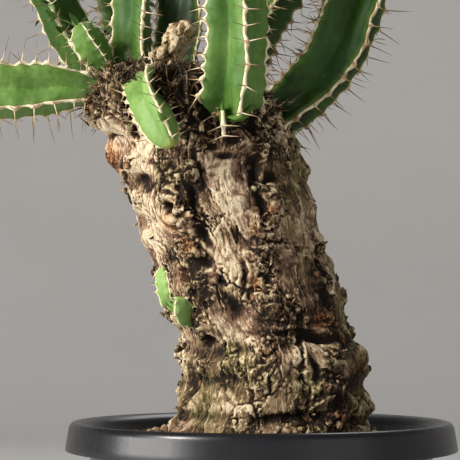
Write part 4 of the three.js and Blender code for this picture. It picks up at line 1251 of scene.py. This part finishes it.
def margin_places(stem, rib, distances):
    """Rings of the horny strip along one rib, wider and higher at each tooth."""
    crest, outward, across, _ = stem_crest(stem, distances, rib)
    tooth = tooth_rise(stem, distances, rib)
    spots = np.stack([distances / 1.9, distances * 0 + 5 * rib, distances * 0], -1)
    ragged = 0.55 * noise(spots, 211)
    half = MARGIN_HALF_WIDTH * (0.72 + 0.5 * tooth) + 0.6 * ragged
    rise = 0.85 + 0.8 * tooth + ragged
    if stem.high < SLENDER:
        half, rise = half * 0.68, rise * 0.95
    shift = 0.6 * noise(spots / 1.7, 212)
    return strip_rings(crest + across * shift[:, None], outward, across, half, rise), tooth


def strip_rings(crest, outward, across, half, rise):
    """Rings of a low strip that runs along a crest and closes at both ends."""
    count = np.arange(len(crest))
    ends = np.minimum(1, np.minimum(count, count[::-1]) / 3 + 0.15)[:, None]
    columns = []
    for angle in full_turn(MARGIN_SIDES):
        lift = outward * (ends * (0.75 * (1 + math.sin(angle)) * rise[:, None]) - 0.5)
        columns.append(crest + across * half[:, None] * ends * math.cos(angle) + lift)
    return np.stack(columns, 1)


def crowding(owner):
    """Middles and radii of everything in the crown but one stem."""
    middles, radii = [], []
    for stem in STEMS:
        if stem.name == owner:
            continue
        length = path_length(stem.path)
        distances = np.arange(0, length, 4.0)
        middles.append(stem_frames(stem.path, distances)[0])
        radii.append(stem_girth(stem, length, distances)[0])
    return np.vstack(middles), np.concatenate(radii)


def has_room(tip, crowd):
    """Whether a spine's tip is clear of the trunk and of the other stems."""
    middles, radii = crowd
    if np.min(np.linalg.norm(middles - tip, axis=1) - 0.75 * radii) < 0:
        return False
    if tip[2] > TRUNK_ROWS[-2][0]:
        return True
    _, x, y, half_width = along_rows(TRUNK_ROWS, np.array(tip[2]))
    return math.hypot(tip[0] - x, tip[1] - y) > half_width


def build_margins(stem, seed):
    """The horny strips of a stem with a pair of spines on every tooth."""
    sizes = bpy.context.scene.euphorbia_sizes
    random = np.random.default_rng(seed)
    length = path_length(stem.path)
    shape = bmesh.new()
    spines = [spine_pattern(bend) for bend in (-0.5, 0.4, 1.1)]
    crowd = crowding(stem.name)
    run = np.arange(margin_start(stem), length - 1.5, MARGIN_STEP)
    young = min(1, stem.high / 11)
    for rib in range(stem.ribs):
        places, tooth = margin_places(stem, rib, run)
        spots = places.mean(axis=1)
        age = 0.05 + 0.14 * tooth + 0.2 * stem.spines + 0.3 * noise(spots / 3.5, 213)
        add_tube(shape, places, tone=age[:, None])
        teeth, strength = rib_teeth(stem, rib)
        crest, outward, across, along = stem_crest(stem, teeth, rib)
        for index, distance in enumerate(teeth):
            for hand in (-1, 1):
                spread = sizes.spine_spread + 0.4 * (random.random() - 0.5)
                direction = (outward[index] * math.cos(spread) + across[index] * hand * math.sin(spread)
                             + along[index] * 0.5 * (random.random() - 0.6))
                reach = sizes.spine_length / MM * mix(0.7, 1.25, random.random()) * young
                reach *= 0.6 + 0.4 * strength[index]
                reach *= mix(0.55, 1, min(1, (length - distance) / 18)) * SPINE_REACHES.get(stem.name, 1)
                root = crest[index] + outward[index] * 0.75
                if not has_room(root + unit(direction) * reach, crowd):
                    continue
                dark = np.clip(stem.spines + 0.25 * random.normal(), 0, 1)
                add_copy(shape, root, direction, along[index], (SPINE_RADIUS, SPINE_RADIUS, reach),
                         spines[random.integers(len(spines))], tone=(0.02 + 0.42 * dark, 0.75 + 0.3 * dark))
    if stem.name == FIN_STEM:
        add_keel_margin(shape, spines[1])
    piece_from(shape, "horn_" + stem.name, horn_finish, ["margins_" + stem.name])


def fin_run(path):
    """The crest of a fin with its outward and across directions."""
    fine, run = smooth_path(path)
    crest = read_at(np.linspace(0, run[-1], int(run[-1] / 0.8)), run, fine)
    along = unit(np.gradient(crest, axis=0))
    across = unit(np.cross(along, np.array([0.0, -1.0, -0.35])))
    return crest, np.cross(across, along), across


def add_fins(shape, light):
    """The green fins under a stem's foot."""
    for path, depth, half_width in FINS:
        crest, outward, across = fin_run(path)
        ends = np.sqrt(np.sin(np.linspace(0.12, math.pi - 0.12, len(crest))))[:, None]
        columns = []
        for angle in full_turn(FIN_SIDES):
            inward = 0.5 - 0.5 * math.sin(angle)
            width = half_width * math.cos(angle) * (0.55 + 0.45 * inward)
            columns.append(crest - outward * depth * inward + across * width * ends)
        add_tube(shape, np.stack(columns, 1), rib=0.4, grown=0.5, light=light)


def add_keel_margin(shape, spine):
    """The horny strip and the spines on the first fin."""
    crest, outward, across = fin_run(FINS[0][0])
    share = np.linspace(0, 1, len(crest))
    start = int(0.3 * len(crest))
    tooth = np.maximum(*(bell(share - place, 0.09) for place in KEEL_TEETH))
    strip = strip_rings(crest, outward, across, 0.8 + 0.4 * tooth, 0.5 + 0.9 * tooth)
    add_tube(shape, strip[start:], tone=0.06)
    for place in KEEL_TEETH:
        index = int(place * (len(crest) - 1))
        for hand in (-1, 1):
            sideways = np.array([hand, -0.45, -0.15 if hand > 0 else -0.55])
            add_copy(shape, crest[index] + outward[index], sideways, (0, 0, 1),
                     (SPINE_RADIUS, SPINE_RADIUS, KEEL_SPINE), spine, tone=(0.12, 0.6))


def shoot_stem(shoot):
    """A short shoot's rings: distances, frames, share of the length, radius and size of the teeth."""
    length = path_length(shoot.path)
    distances = np.linspace(0, length, max(int(length / 0.6), 16))
    share = distances / length
    bulge = np.sin(math.pi * np.clip((share - 0.2) / 0.84, 0, 1)) ** 0.7
    cap = np.sqrt(np.clip(1 - (np.clip(share - 0.8, 0, 1) / 0.205) ** 2, 0.02, 1))
    tooth = (0.5 + 0.5 * np.cos(2 * math.pi * distances / SHOOT_PITCH)) ** 2
    body = mix(shoot.neck, shoot.radius, bulge) * cap
    return distances, stem_frames(shoot.path, distances), share, body, tooth


def build_shoot(shoot, seed):
    random = np.random.default_rng(seed)
    distances, (middle, along, front, side), share, body, tooth = shoot_stem(shoot)
    columns, ribs = [], []
    steps = shoot.ribs * SHOOT_SIDES
    for step in range(steps):
        angle = math.radians(shoot.turn) + 2 * math.pi * step / steps
        on_rib = (0.5 + 0.5 * math.cos(shoot.ribs * 2 * math.pi * step / steps)) ** 2
        radius = body * (0.76 + 0.24 * on_rib) + 0.9 * tooth * on_rib * smooth_step(0.25, 0.4, share)
        columns.append(middle + (front * math.cos(angle) + side * math.sin(angle)) * radius[:, None])
        ribs.append(on_rib ** 3)
    shape = bmesh.new()
    add_tube(shape, np.stack(columns, 1), rib=np.array(ribs)[None, :], grown=(0.15 + 0.8 * share)[:, None],
             light=shoot.light)
    leaf = leaf_pattern()
    for _ in range(10 if shoot.radius > 6 else 7):
        index = int(mix(0.45, 0.98, random.random()) * (len(distances) - 1))
        angle = math.radians(shoot.turn + 360 / shoot.ribs * random.integers(shoot.ribs))
        angle += 0.2 * random.normal()
        direction = front[index] * math.cos(angle) + side[index] * math.sin(angle)
        size = mix(2.6, 6.5, random.random()) * (shoot.radius / 7) ** 0.5
        add_copy(shape, middle[index] + direction * body[index] * 0.9, direction + along[index] * 0.9,
                 -along[index], size, leaf, rib=0.3, grown=0.5, light=0.75)
    piece_from(shape, "green_" + shoot.name, skin_finish, [shoot.name])
    build_shoot_spines(shoot, random)


def build_shoot_spines(shoot, random):
    distances, (middle, along, front, side), _, body, tooth = shoot_stem(shoot)
    spine = spine_pattern(0.3)
    shape = bmesh.new()
    start = int(SHOOT_MARGIN_FROM * len(distances))
    half, rise = 0.42, 0.45
    for rib in range(shoot.ribs):
        angle = math.radians(shoot.turn + rib * 360 / shoot.ribs)
        outward = front * math.cos(angle) + side * math.sin(angle)
        across = -front * math.sin(angle) + side * math.cos(angle)
        crest = middle + outward * (body + 0.9 * tooth - 0.1)[:, None]
        columns = [crest + across * half * math.cos(turn) + outward * rise * math.sin(turn)
                   for turn in full_turn(5)]
        add_tube(shape, np.stack(columns, 1)[start:-1], tone=0.14)
        for distance in np.arange(SHOOT_PITCH * 2, distances[-1], SHOOT_PITCH):
            index = int(distance / distances[-1] * (len(distances) - 1))
            for hand in (-1, 1):
                direction = outward[index] + hand * 0.9 * across[index] + 0.3 * random.normal(size=3)
                reach = mix(1.6, 3.4, random.random()) * (shoot.radius / 5) ** 0.6
                add_copy(shape, crest[index], direction, along[index], (0.24, 0.24, reach), spine,
                         tone=(0.12, 0.4))
    piece_from(shape, "horn_" + shoot.name, horn_finish)


def build_leaves():
    """Small pointed leaves by the younger teeth, at the growing tips and round the short shoot."""
    random = np.random.default_rng(SEEDS["leaves"])
    shape = bmesh.new()
    leaf = leaf_pattern()

    def grow(place, direction, behind, size):
        add_copy(shape, place, direction, behind, size, leaf, rib=0.3, grown=0.5,
                 light=mix(0.25, 0.65, random.random()))

    for stem in STEMS:
        length = path_length(stem.path)
        for rib in range(stem.ribs):
            teeth, _ = rib_teeth(stem, rib)
            crest, outward, _, along = stem_crest(stem, teeth, rib)
            for index, distance in enumerate(teeth):
                chance = 0.08 + 0.6 * smooth_step(0.42, 0.9, distance / length)
                chance += 0.85 * any(owner == stem.name and rib == side and low < distance < high
                                     for owner, side, low, high in LEAFY)
                if random.random() > chance or distance < 30:
                    continue
                size = mix(4.0, 8.5, random.random()) * min(1, stem.high / 12)
                for _ in range(1 + (chance > 0.8)):
                    lean = along[index] * mix(-0.4, 1.0, random.random()) + 0.3 * random.normal(size=3)
                    grow(crest[index] + outward[index] * 0.6, outward[index] + lean, -along[index], size)
    tip = np.array(SHOOTS[0].path[-1], float)
    for turn in np.radians([-150, -80, -20, 30, 95]):
        sideways = np.array([math.sin(turn), -math.cos(turn), 0.0])
        grow(tip + sideways * 3 - (0, 0, 1.5), sideways * mix(0.4, 1.2, random.random()) + (0, 0, 0.8),
             sideways, mix(5, 9, random.random()))
    piece_from(shape, "small_leaves", skin_finish)


# Pot and potting mix

def soil_height(places):
    """Height of the mix at places across and in depth, in millimetres."""
    radius = np.hypot(places[..., 0], places[..., 1])
    spots = np.stack([places[..., 0], places[..., 1], np.zeros_like(radius)], -1)
    mound = SOIL_MOUND * (1 - smooth_step(MOUND_TOP, MOUND_FOOT, radius))
    return SOIL_TOP + mound + 0.7 * noise(spots / 14, 301) + 0.5 * noise(spots / 4, 302) - 0.6


def build_soil():
    random = np.random.default_rng(SEEDS["soil"])
    turns = full_turn(SOIL_SIDES)
    around = np.stack([np.cos(turns), np.sin(turns), np.zeros_like(turns)], -1)
    inner_base = WALL_BASE_RADIUS - WALL_THICKNESS - 0.8
    radii = np.array([inner_base, SOIL_EDGE, *np.linspace(SOIL_EDGE, 0.5, SOIL_RINGS)])
    places = around * radii[:, None, None]
    places[..., 2] = soil_height(places)
    places[:2, :, 2] = [[POT_FLOOR_TOP + 0.4], [SOIL_TOP - 1]]
    shape = bmesh.new()
    add_tube(shape, places, kind=0.12 + 0.12 * noise(places / 5, 303))
    crumbs = [crumb_pattern(seed, 1) for seed in range(5)]
    stones = [crumb_pattern(seed, 2) for seed in range(10, 16)]
    for patterns, count, small, large, sink in ((crumbs, *SMALL_GRAINS), (stones, *LARGE_GRAINS)):
        for _ in range(count):
            radius = (SOIL_EDGE - 1.5) * math.sqrt(mix(0.27, 1, random.random()))
            turn = random.random() * 2 * math.pi
            size = mix(small, large, random.random() ** 1.7)
            radius = min(radius, SOIL_EDGE - size - 0.2)
            spot = np.array([radius * math.cos(turn), radius * math.sin(turn), 0.0])
            spot[2] = soil_height(spot) + size * mix(-sink, 0.45, random.random())
            flat = mix(0.55, 1, random.random())
            add_copy(shape, spot, random.normal(size=3) * 0.5 + (0, 0, 1), random.normal(size=3),
                     (size, size * mix(0.6, 1, random.random()), size * flat),
                     patterns[random.integers(len(patterns))],
                     kind=float(random.choice(GRAIN_KINDS, p=GRAIN_SHARES)))
    piece_from(shape, "potting_mix_surface", soil_finish, ["soil"])


def wall_inside(height):
    share = height / (POT_HEIGHT - LIP_DROP)
    return mix(WALL_BASE_RADIUS, WALL_TOP_RADIUS, share) - WALL_THICKNESS


def pot_profile():
    """Radius and height of the pot's outline, from under its middle round to its floor."""
    pad, ring, groove = DRAIN_GROOVE
    skirt = POT_HEIGHT - LIP_DROP
    round_radius, round_height = LIP_RADIUS - LIP_ROUNDING[0], POT_HEIGHT - LIP_ROUNDING[1]
    outer = [(0.0, 0), (pad, 0), (pad, groove), (ring, groove), (ring, 0), (WALL_BASE_RADIUS - 1, 0),
             (WALL_BASE_RADIUS, 1)]
    outer += [(mix(WALL_BASE_RADIUS, WALL_TOP_RADIUS, share), 1 + share * (POT_HEIGHT - 8.5))
              for share in np.linspace(0.04, 1, 20)]
    lip = [(LIP_CREST_RADIUS - LIP_THICKNESS, POT_HEIGHT - LIP_THICKNESS - 0.6),
           (LIP_RADIUS - LIP_THICKNESS - 0.6, POT_HEIGHT - LIP_THICKNESS - 2),
           (LIP_RADIUS - LIP_THICKNESS, skirt), (LIP_RADIUS, skirt), (LIP_RADIUS - 0.5, POT_HEIGHT - 9),
           (round_radius, round_height)]
    lip += [(mix(LIP_CREST_RADIUS, round_radius, math.cos(turn)),
             mix(round_height, POT_HEIGHT, math.sin(turn))) for turn in np.radians([18, 36, 54, 72, 90])]
    inner = [(LIP_CREST_RADIUS - LIP_THICKNESS, POT_HEIGHT - 0.8),
             (wall_inside(POT_HEIGHT - 3) + 1.2, POT_HEIGHT - 2.4),
             (wall_inside(POT_HEIGHT - 5), POT_HEIGHT - 5)]
    inner += [(wall_inside(height), height) for height in np.linspace(POT_HEIGHT - 12, POT_FLOOR_TOP, 12)]
    return outer + lip + inner + [(0.0, POT_FLOOR_TOP)]


def spun_pot():
    shape = spun([(radius * MM, height * MM) for radius, height in pot_profile()], POT_STEPS)
    bmesh.ops.remove_doubles(shape, verts=shape.verts, dist=MM * 0.01)
    return new_object("pot_turned", mesh_from(shape, "pot_turned"))


def pot_cutters():
    """Drain holes through the floor and notches through the foot ring, as one object."""
    pad, ring, groove = DRAIN_GROOVE
    shape = bmesh.new()
    for index in range(DRAIN_HOLES):
        turn = (index + 0.5) * 2 * math.pi / DRAIN_HOLES
        reach = (pad + ring) / 2 * MM
        place = Matrix.Translation((reach * math.cos(turn), reach * math.sin(turn), 0))
        bmesh.ops.create_cone(shape, cap_ends=True, segments=28, radius1=DRAIN_HOLE_RADIUS * MM,
                              radius2=DRAIN_HOLE_RADIUS * MM, depth=DRAIN_CUT * MM, matrix=place)
        turn = index * 2 * math.pi / DRAIN_HOLES
        place = Matrix.Rotation(turn, 4, "Z") @ Matrix.Translation((WALL_BASE_RADIUS * MM, 0, 0))
        size = Matrix.Diagonal((*(part * MM for part in NOTCH), 2 * groove * MM, 1))
        bmesh.ops.create_cube(shape, size=1, matrix=place @ size)
    return new_object("pot_cutters", mesh_from(shape, "pot_cutters", outward=False))


def build_pot():
    turned, cutters = spun_pot(), pot_cutters()
    cut = turned.modifiers.new("drainage", "BOOLEAN")
    cut.operation = "DIFFERENCE"
    cut.object = cutters
    soft = turned.modifiers.new("edges", "BEVEL")
    soft.width = EDGE_BEVEL * MM
    soft.segments = 2
    soft.limit_method = "ANGLE"
    soft.angle_limit = math.radians(EDGE_ANGLE)
    depsgraph = bpy.context.evaluated_depsgraph_get()
    shape = bmesh.new()
    shape.from_mesh(turned.evaluated_get(depsgraph).to_mesh())
    for each in (turned, cutters):
        bpy.data.objects.remove(each)
    piece_from(shape, "nursery_pot", pot_finish, ["pot"])


# Stage

def aim(thing, target):
    thing.rotation_euler = (Vector(target) - thing.location).to_track_quat("-Z", "Y").to_euler()


def add_light(name, place, target, sides, power, colour):
    data = bpy.data.lights.new(name, "AREA")
    data.shape = "RECTANGLE"
    data.size, data.size_y = sides
    data.energy = power
    data.color = colour
    light = new_object(name, data)
    light.location = place
    aim(light, target)


def build_stage():
    scene = bpy.context.scene
    settings = scene.euphorbia_studio
    sweep = [(FLOOR_RADIUS + FLOOR_SWEEP * math.sin(turn), FLOOR_SWEEP * (1 - math.cos(turn)))
             for turn in np.radians(np.linspace(0, 90, 13))]
    shape = spun([(0.001, 0.0), *sweep, (FLOOR_RADIUS + FLOOR_SWEEP, FLOOR_RIM)], FLOOR_STEPS)
    inner_rim = [edge for edge in shape.edges if edge.is_boundary and edge.verts[0].co.z < 0.1]
    bmesh.ops.holes_fill(shape, edges=inner_rim)
    mesh = mesh_from(shape, "studio_floor", outward=False)
    mesh.shade_smooth()
    mesh.materials.append(finished(floor_finish))
    new_object("studio_floor", mesh)
    for name, setting, place, target, sides, colour in LIGHTS:
        add_light(name, place, target, sides, getattr(settings, setting), colour)
    world = bpy.data.worlds.new("studio_air")
    world.use_nodes = True
    air = world.node_tree.nodes["Background"]
    air.inputs["Color"].default_value = AIR_COLOUR
    air.inputs["Strength"].default_value = settings.air_strength
    scene.world = world
    scene.view_settings.view_transform = "Standard"
    data = bpy.data.cameras.new("photo_view")
    data.lens = CAMERA_LENS
    data.sensor_width = CAMERA_SENSOR
    data.clip_start = CAMERA_NEAR
    camera = new_object("photo_view", data)
    camera.location = CAMERA_PLACE
    aim(camera, CAMERA_AIM)
    scene.camera = camera


# Settings

def setting(name, description, default, **limits):
    return FloatProperty(name=name, description=description, default=default, **limits)


def power_setting(name, description, default):
    return setting(name, description, default, min=0.0, unit="POWER")


def colour_setting(name, description, default):
    return FloatVectorProperty(name=name, description=description, default=default, size=3, min=0.0, max=1.0,
                               subtype="COLOR")


class EuphorbiaSizes(bpy.types.PropertyGroup):
    """Sizes that change the plant's look"""
    spine_length: setting("Spine length", "Usual length of a spine", 9.6 * MM, min=0.0, unit="LENGTH")
    spine_spread: setting("Spine spread", "Angle between a spine and its rib", math.radians(48),
                          subtype="ANGLE")
    bark_relief: setting("Bark relief", "Strength of the bark's fine relief", 1.0, min=0.0, max=2.0,
                         subtype="FACTOR")


class EuphorbiaColours(bpy.types.PropertyGroup):
    """Colours of the plant, its pot and the floor"""
    bark_dark: colour_setting("Bark, deepest", "Colour in the bark's cracks", (0.016, 0.010, 0.006))
    bark_middle: colour_setting("Bark, middle", "Usual colour of the bark", (0.182, 0.116, 0.058))
    bark_light: colour_setting("Bark, light", "Colour of the bark's ridges", (0.43, 0.31, 0.168))
    bark_pale: colour_setting("Bark, palest", "Colour of the bark's dry edges", (0.74, 0.615, 0.42))
    stem_deep: colour_setting("Stem, deep", "Darkest green of the skin", (0.011, 0.03, 0.004))
    stem_middle: colour_setting("Stem, middle", "Usual green of the skin", (0.072, 0.165, 0.022))
    stem_bright: colour_setting("Stem, bright", "Lightest green of the skin", (0.28, 0.45, 0.13))
    horn: colour_setting("Horn", "Cream of the margins and young spines", (0.86, 0.76, 0.53))
    pot: colour_setting("Pot", "Black of the plastic", (0.005, 0.005, 0.007))
    floor: colour_setting("Floor", "Pale studio floor", (0.62, 0.61, 0.6))


class EuphorbiaStudio(bpy.types.PropertyGroup):
    """Lights of the plain studio"""
    key_power: power_setting("Key light", "Light from the front left", 62.0)
    side_power: power_setting("Side light", "Low light from the left", 28.0)
    fill_power: power_setting("Fill light", "Light from the right", 3.0)
    top_power: power_setting("Top light", "Light from above and behind", 10.0)
    air_strength: setting("Surroundings", "Brightness all round", 0.2, min=0.0)


# Operators

class EUPHORBIA_OT_trunk(bpy.types.Operator):
    """Make the corky trunk and the old stumps in its crown"""
    bl_idname = "euphorbia.trunk"
    bl_label = "Trunk and stumps"

    def execute(self, context):
        build_trunk()
        build_stumps()
        return {"FINISHED"}


class EUPHORBIA_OT_bark_bits(bpy.types.Operator):
    """Make the flakes, corky crumbs and old spines on the bark"""
    bl_idname = "euphorbia.bark_bits"
    bl_label = "Bark flakes and crumbs"

    def execute(self, context):
        build_bark_bits()
        return {"FINISHED"}


class EUPHORBIA_OT_stems(bpy.types.Operator):
    """Make the green ribbed stems"""
    bl_idname = "euphorbia.stems"
    bl_label = "Green stems"

    def execute(self, context):
        for stem in STEMS:
            build_stem(stem)
        return {"FINISHED"}


class EUPHORBIA_OT_margins(bpy.types.Operator):
    """Make the horny margins and their spines"""
    bl_idname = "euphorbia.margins"
    bl_label = "Horny margins and spines"

    def execute(self, context):
        for seed, stem in enumerate(STEMS, SEEDS["margins"]):
            build_margins(stem, seed)
        return {"FINISHED"}


class EUPHORBIA_OT_shoots(bpy.types.Operator):
    """Make the short shoots, the sprouts and the small leaves"""
    bl_idname = "euphorbia.shoots"
    bl_label = "Shoots and leaves"

    def execute(self, context):
        for seed, shoot in enumerate(SHOOTS, SEEDS["shoots"]):
            build_shoot(shoot, seed)
        build_leaves()
        return {"FINISHED"}


class EUPHORBIA_OT_soil(bpy.types.Operator):
    """Make the potting mix and its grains"""
    bl_idname = "euphorbia.soil"
    bl_label = "Potting mix"

    def execute(self, context):
        build_soil()
        return {"FINISHED"}


class EUPHORBIA_OT_pot(bpy.types.Operator):
    """Make the round plastic pot"""
    bl_idname = "euphorbia.pot"
    bl_label = "Pot"

    def execute(self, context):
        build_pot()
        return {"FINISHED"}


class EUPHORBIA_OT_stage(bpy.types.Operator):
    """Make the pale floor, the soft lights and the camera"""
    bl_idname = "euphorbia.stage"
    bl_label = "Studio and camera"

    def execute(self, context):
        build_stage()
        return {"FINISHED"}


OPERATORS = (EUPHORBIA_OT_stage, EUPHORBIA_OT_trunk, EUPHORBIA_OT_bark_bits, EUPHORBIA_OT_stems,
             EUPHORBIA_OT_margins, EUPHORBIA_OT_shoots, EUPHORBIA_OT_soil, EUPHORBIA_OT_pot)
GROUPS = {
    "euphorbia_sizes": EuphorbiaSizes,
    "euphorbia_colours": EuphorbiaColours,
    "euphorbia_studio": EuphorbiaStudio,
}


class EUPHORBIA_PT_sidebar(bpy.types.Panel):
    """Lists the plant's pieces, sizes and colours"""
    bl_idname = "EUPHORBIA_PT_sidebar"
    bl_label = "Potted euphorbia"
    bl_space_type = "VIEW_3D"
    bl_region_type = "UI"
    bl_category = "Euphorbia"

    def draw(self, context):
        for operator in OPERATORS:
            self.layout.operator(operator.bl_idname)
        for name, group in GROUPS.items():
            column = self.layout.column()
            for setting_name in group.__annotations__:
                column.prop(getattr(context.scene, name), setting_name)


def register():
    for group in (*GROUPS.values(), *OPERATORS, EUPHORBIA_PT_sidebar):
        bpy.utils.register_class(group)
    for name, group in GROUPS.items():
        setattr(bpy.types.Scene, name, PointerProperty(type=group))


def unregister():
    for name in GROUPS:
        delattr(bpy.types.Scene, name)
    for group in (EUPHORBIA_PT_sidebar, *reversed(OPERATORS), *GROUPS.values()):
        bpy.utils.unregister_class(group)


def main():
    register()
    bpy.ops.euphorbia.stage()
    bpy.ops.euphorbia.trunk()
    bpy.ops.euphorbia.bark_bits()
    bpy.ops.euphorbia.stems()
    bpy.ops.euphorbia.margins()
    bpy.ops.euphorbia.shoots()
    bpy.ops.euphorbia.soil()
    bpy.ops.euphorbia.pot()


if __name__ == "__main__":
    main()
